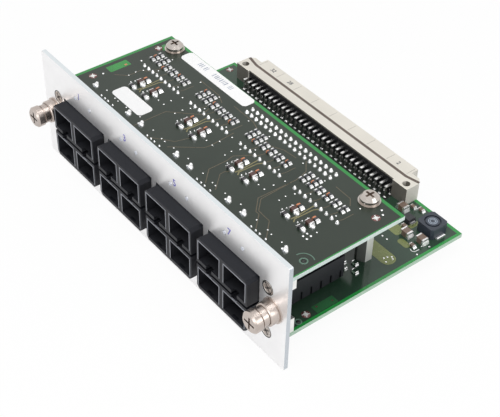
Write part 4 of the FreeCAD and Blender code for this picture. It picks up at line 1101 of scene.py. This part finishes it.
for text, x in PIN_NUMBERS:
    placing = Matrix.Translation((x * MM, PIN_DIGIT_Y * MM, (body_high[Z] + 0.01) * MM))
    number_piece("pin_number_" + text, text, PIN_DIGIT, placing, "dark_ink")


# ---- screw head details

CROSS_ANGLES = (35, 125)
CROSS_REACH, CROSS_HALF_WIDTH = 0.62, 0.32


def panel_screw_details():
    """A dark gap round each small panel screw as painted shade, a bright edge inside it and a cross recess
    painted dark as its shade.
    """
    form = Form()
    bright, dark, recess = 0, 1, 2
    for low, high in solid_boxes("panel_screws"):
        x, _, z = box_middle(low, high)
        radius = (high[X] - low[X]) / 2
        # The gap round the head is painted shade.
        gap = (radius + 0.12, radius - 0.1, 0.06, dark)
        edge = (radius - 0.1, radius - 0.75, 0.05, bright)
        for outer, inner, proud, paint in (gap, edge):
            outline = [(outer, -0.05), (outer, proud), (inner, proud), (inner, -0.05)]
            form.lathe((x, panel_front, z), outline, 28, axis=(0, -1, 0), paint=paint)
        # The cross recess is painted dark as its shade.
        centre = Vector((x, panel_front - 0.04, z))
        for degrees in CROSS_ANGLES:
            angle = math.radians(degrees)
            along = Vector((math.cos(angle), 0, math.sin(angle))) * radius * CROSS_REACH
            across = Vector((-math.sin(angle), 0, math.cos(angle))) * CROSS_HALF_WIDTH
            corners = [centre + along * a + across * b for a, b in ((-1, -1), (1, -1), (1, 1), (-1, 1))]
            corners += [corner + Vector((0, 0.06, 0)) for corner in corners]
            faces = [(0, 1, 2, 3), (7, 6, 5, 4), (0, 4, 5, 1), (1, 5, 6, 2), (2, 6, 7, 3), (3, 7, 4, 0)]
            form.add(corners, faces, recess)
    form.piece("panel_screw_details", ["screws", "hole", "recess"])


panel_screw_details()


# ---- floor, lights and camera

FLOOR_HALF = 3.0
FLOOR_DROP = 0.00005
GLOW_SHARE = 0.95
AMBIENT = 0.42
LAMP_TARGET = (0, 0.035, 0.02)
# Lamps: place, width and height of the lit surface, and power.
LAMPS = {
    "key": ((0.1, -0.15, 0.8), (0.5, 0.5), 3.4),
    "fill": ((0.3, -0.75, 0.35), (0.5, 0.4), 1.6),
    "rim": ((0.75, 0.25, 0.4), (0.5, 0.4), 1.6),
}
AZIMUTH, ELEVATION, ROLL = 50.96, 41.51, 1.51
OFFSET_RIGHT, OFFSET_UP, DISTANCE = 30.22, 12.72, 393.05
SENSOR_WIDTH, LENS = 36, 84.04


def seen_plainly(tree):
    """One for rays that the camera, a shiny face or a clear one sends, and none for soft light."""
    path = tree.nodes.new("ShaderNodeLightPath")
    found = path.outputs["Is Camera Ray"]
    for kind in ("Is Glossy Ray", "Is Transmission Ray"):
        larger = tree.nodes.new("ShaderNodeMath")
        larger.operation = "MAXIMUM"
        tree.links.new(found, larger.inputs[0])
        tree.links.new(path.outputs[kind], larger.inputs[1])
        found = larger.outputs[0]
    return found


def pale_floor():
    """A floor that is seen almost white and still takes soft shadows."""
    material = bpy.data.materials.new("pale_floor")
    material.use_nodes = True
    tree = material.node_tree
    tree.nodes.clear()
    new, link = tree.nodes.new, tree.links.new
    out = new("ShaderNodeOutputMaterial")
    mix = new("ShaderNodeMixShader")
    plain = new("ShaderNodeBsdfDiffuse")
    plain.inputs["Color"].default_value = (0.9, 0.9, 0.9, 1)
    glow = new("ShaderNodeEmission")
    share = new("ShaderNodeMath")
    share.operation = "MULTIPLY"
    share.inputs[1].default_value = GLOW_SHARE
    link(seen_plainly(tree), share.inputs[0])
    link(share.outputs[0], mix.inputs[0])
    link(plain.outputs[0], mix.inputs[1])
    link(glow.outputs[0], mix.inputs[2])
    link(mix.outputs[0], out.inputs["Surface"])
    return material


def lay_floor():
    half = FLOOR_HALF
    mesh = bpy.data.meshes.new("floor")
    corners = [(-half, -half, 0), (half, -half, 0), (half, half, 0), (-half, half, 0)]
    mesh.from_pydata(corners, [], [(0, 1, 2, 3)])
    mesh.materials.append(pale_floor())
    floor = new_object("floor", mesh)
    floor.location.z = cad_bounds[0][Z] - FLOOR_DROP


def light_world():
    """A soft white surround that is fully white where it is seen plainly."""
    world = bpy.data.worlds.new("studio")
    bpy.context.scene.world = world
    world.use_nodes = True
    tree = world.node_tree
    strength = tree.nodes.new("ShaderNodeMath")
    strength.operation = "MULTIPLY_ADD"
    strength.inputs[1].default_value = 1 - AMBIENT
    strength.inputs[2].default_value = AMBIENT
    sky = tree.nodes["Background"]
    sky.inputs["Color"].default_value = (1, 1, 1, 1)
    tree.links.new(seen_plainly(tree), strength.inputs[0])
    tree.links.new(strength.outputs[0], sky.inputs["Strength"])


def hang_lamp(name, place, size, power):
    light = bpy.data.lights.new(name, "AREA")
    light.shape = "RECTANGLE"
    light.size, light.size_y = size
    light.energy = power
    lamp = new_object(name, light)
    lamp.location = Vector(place)
    lamp.rotation_euler = (Vector(LAMP_TARGET) - Vector(place)).to_track_quat("-Z", "Y").to_euler()


def set_camera():
    """Look at the card from its right front and above, with a slight roll."""
    azimuth, elevation, roll = (math.radians(a) for a in (AZIMUTH, ELEVATION, ROLL))
    level = math.cos(elevation)
    back = Vector((math.sin(azimuth) * level, -math.cos(azimuth) * level, math.sin(elevation)))
    flat_right = Vector((0, 0, 1)).cross(back).normalized()
    flat_up = back.cross(flat_right)
    right = flat_right * math.cos(roll) + flat_up * math.sin(roll)
    up = flat_up * math.cos(roll) - flat_right * math.sin(roll)
    place = (right * OFFSET_RIGHT + up * OFFSET_UP + back * DISTANCE) * MM
    data = bpy.data.cameras.new("camera")
    data.sensor_width = SENSOR_WIDTH
    data.lens = LENS
    data.clip_start = 0.01
    camera = new_object("camera", data)
    camera.matrix_world = Matrix.Translation(place) @ Matrix((right, up, back)).transposed().to_4x4()
    bpy.context.scene.camera = camera


lay_floor()
light_world()
for name, (place, size, power) in LAMPS.items():
    hang_lamp(name, place, size, power)
set_camera()
bpy.context.scene.view_settings.view_transform = "Standard"
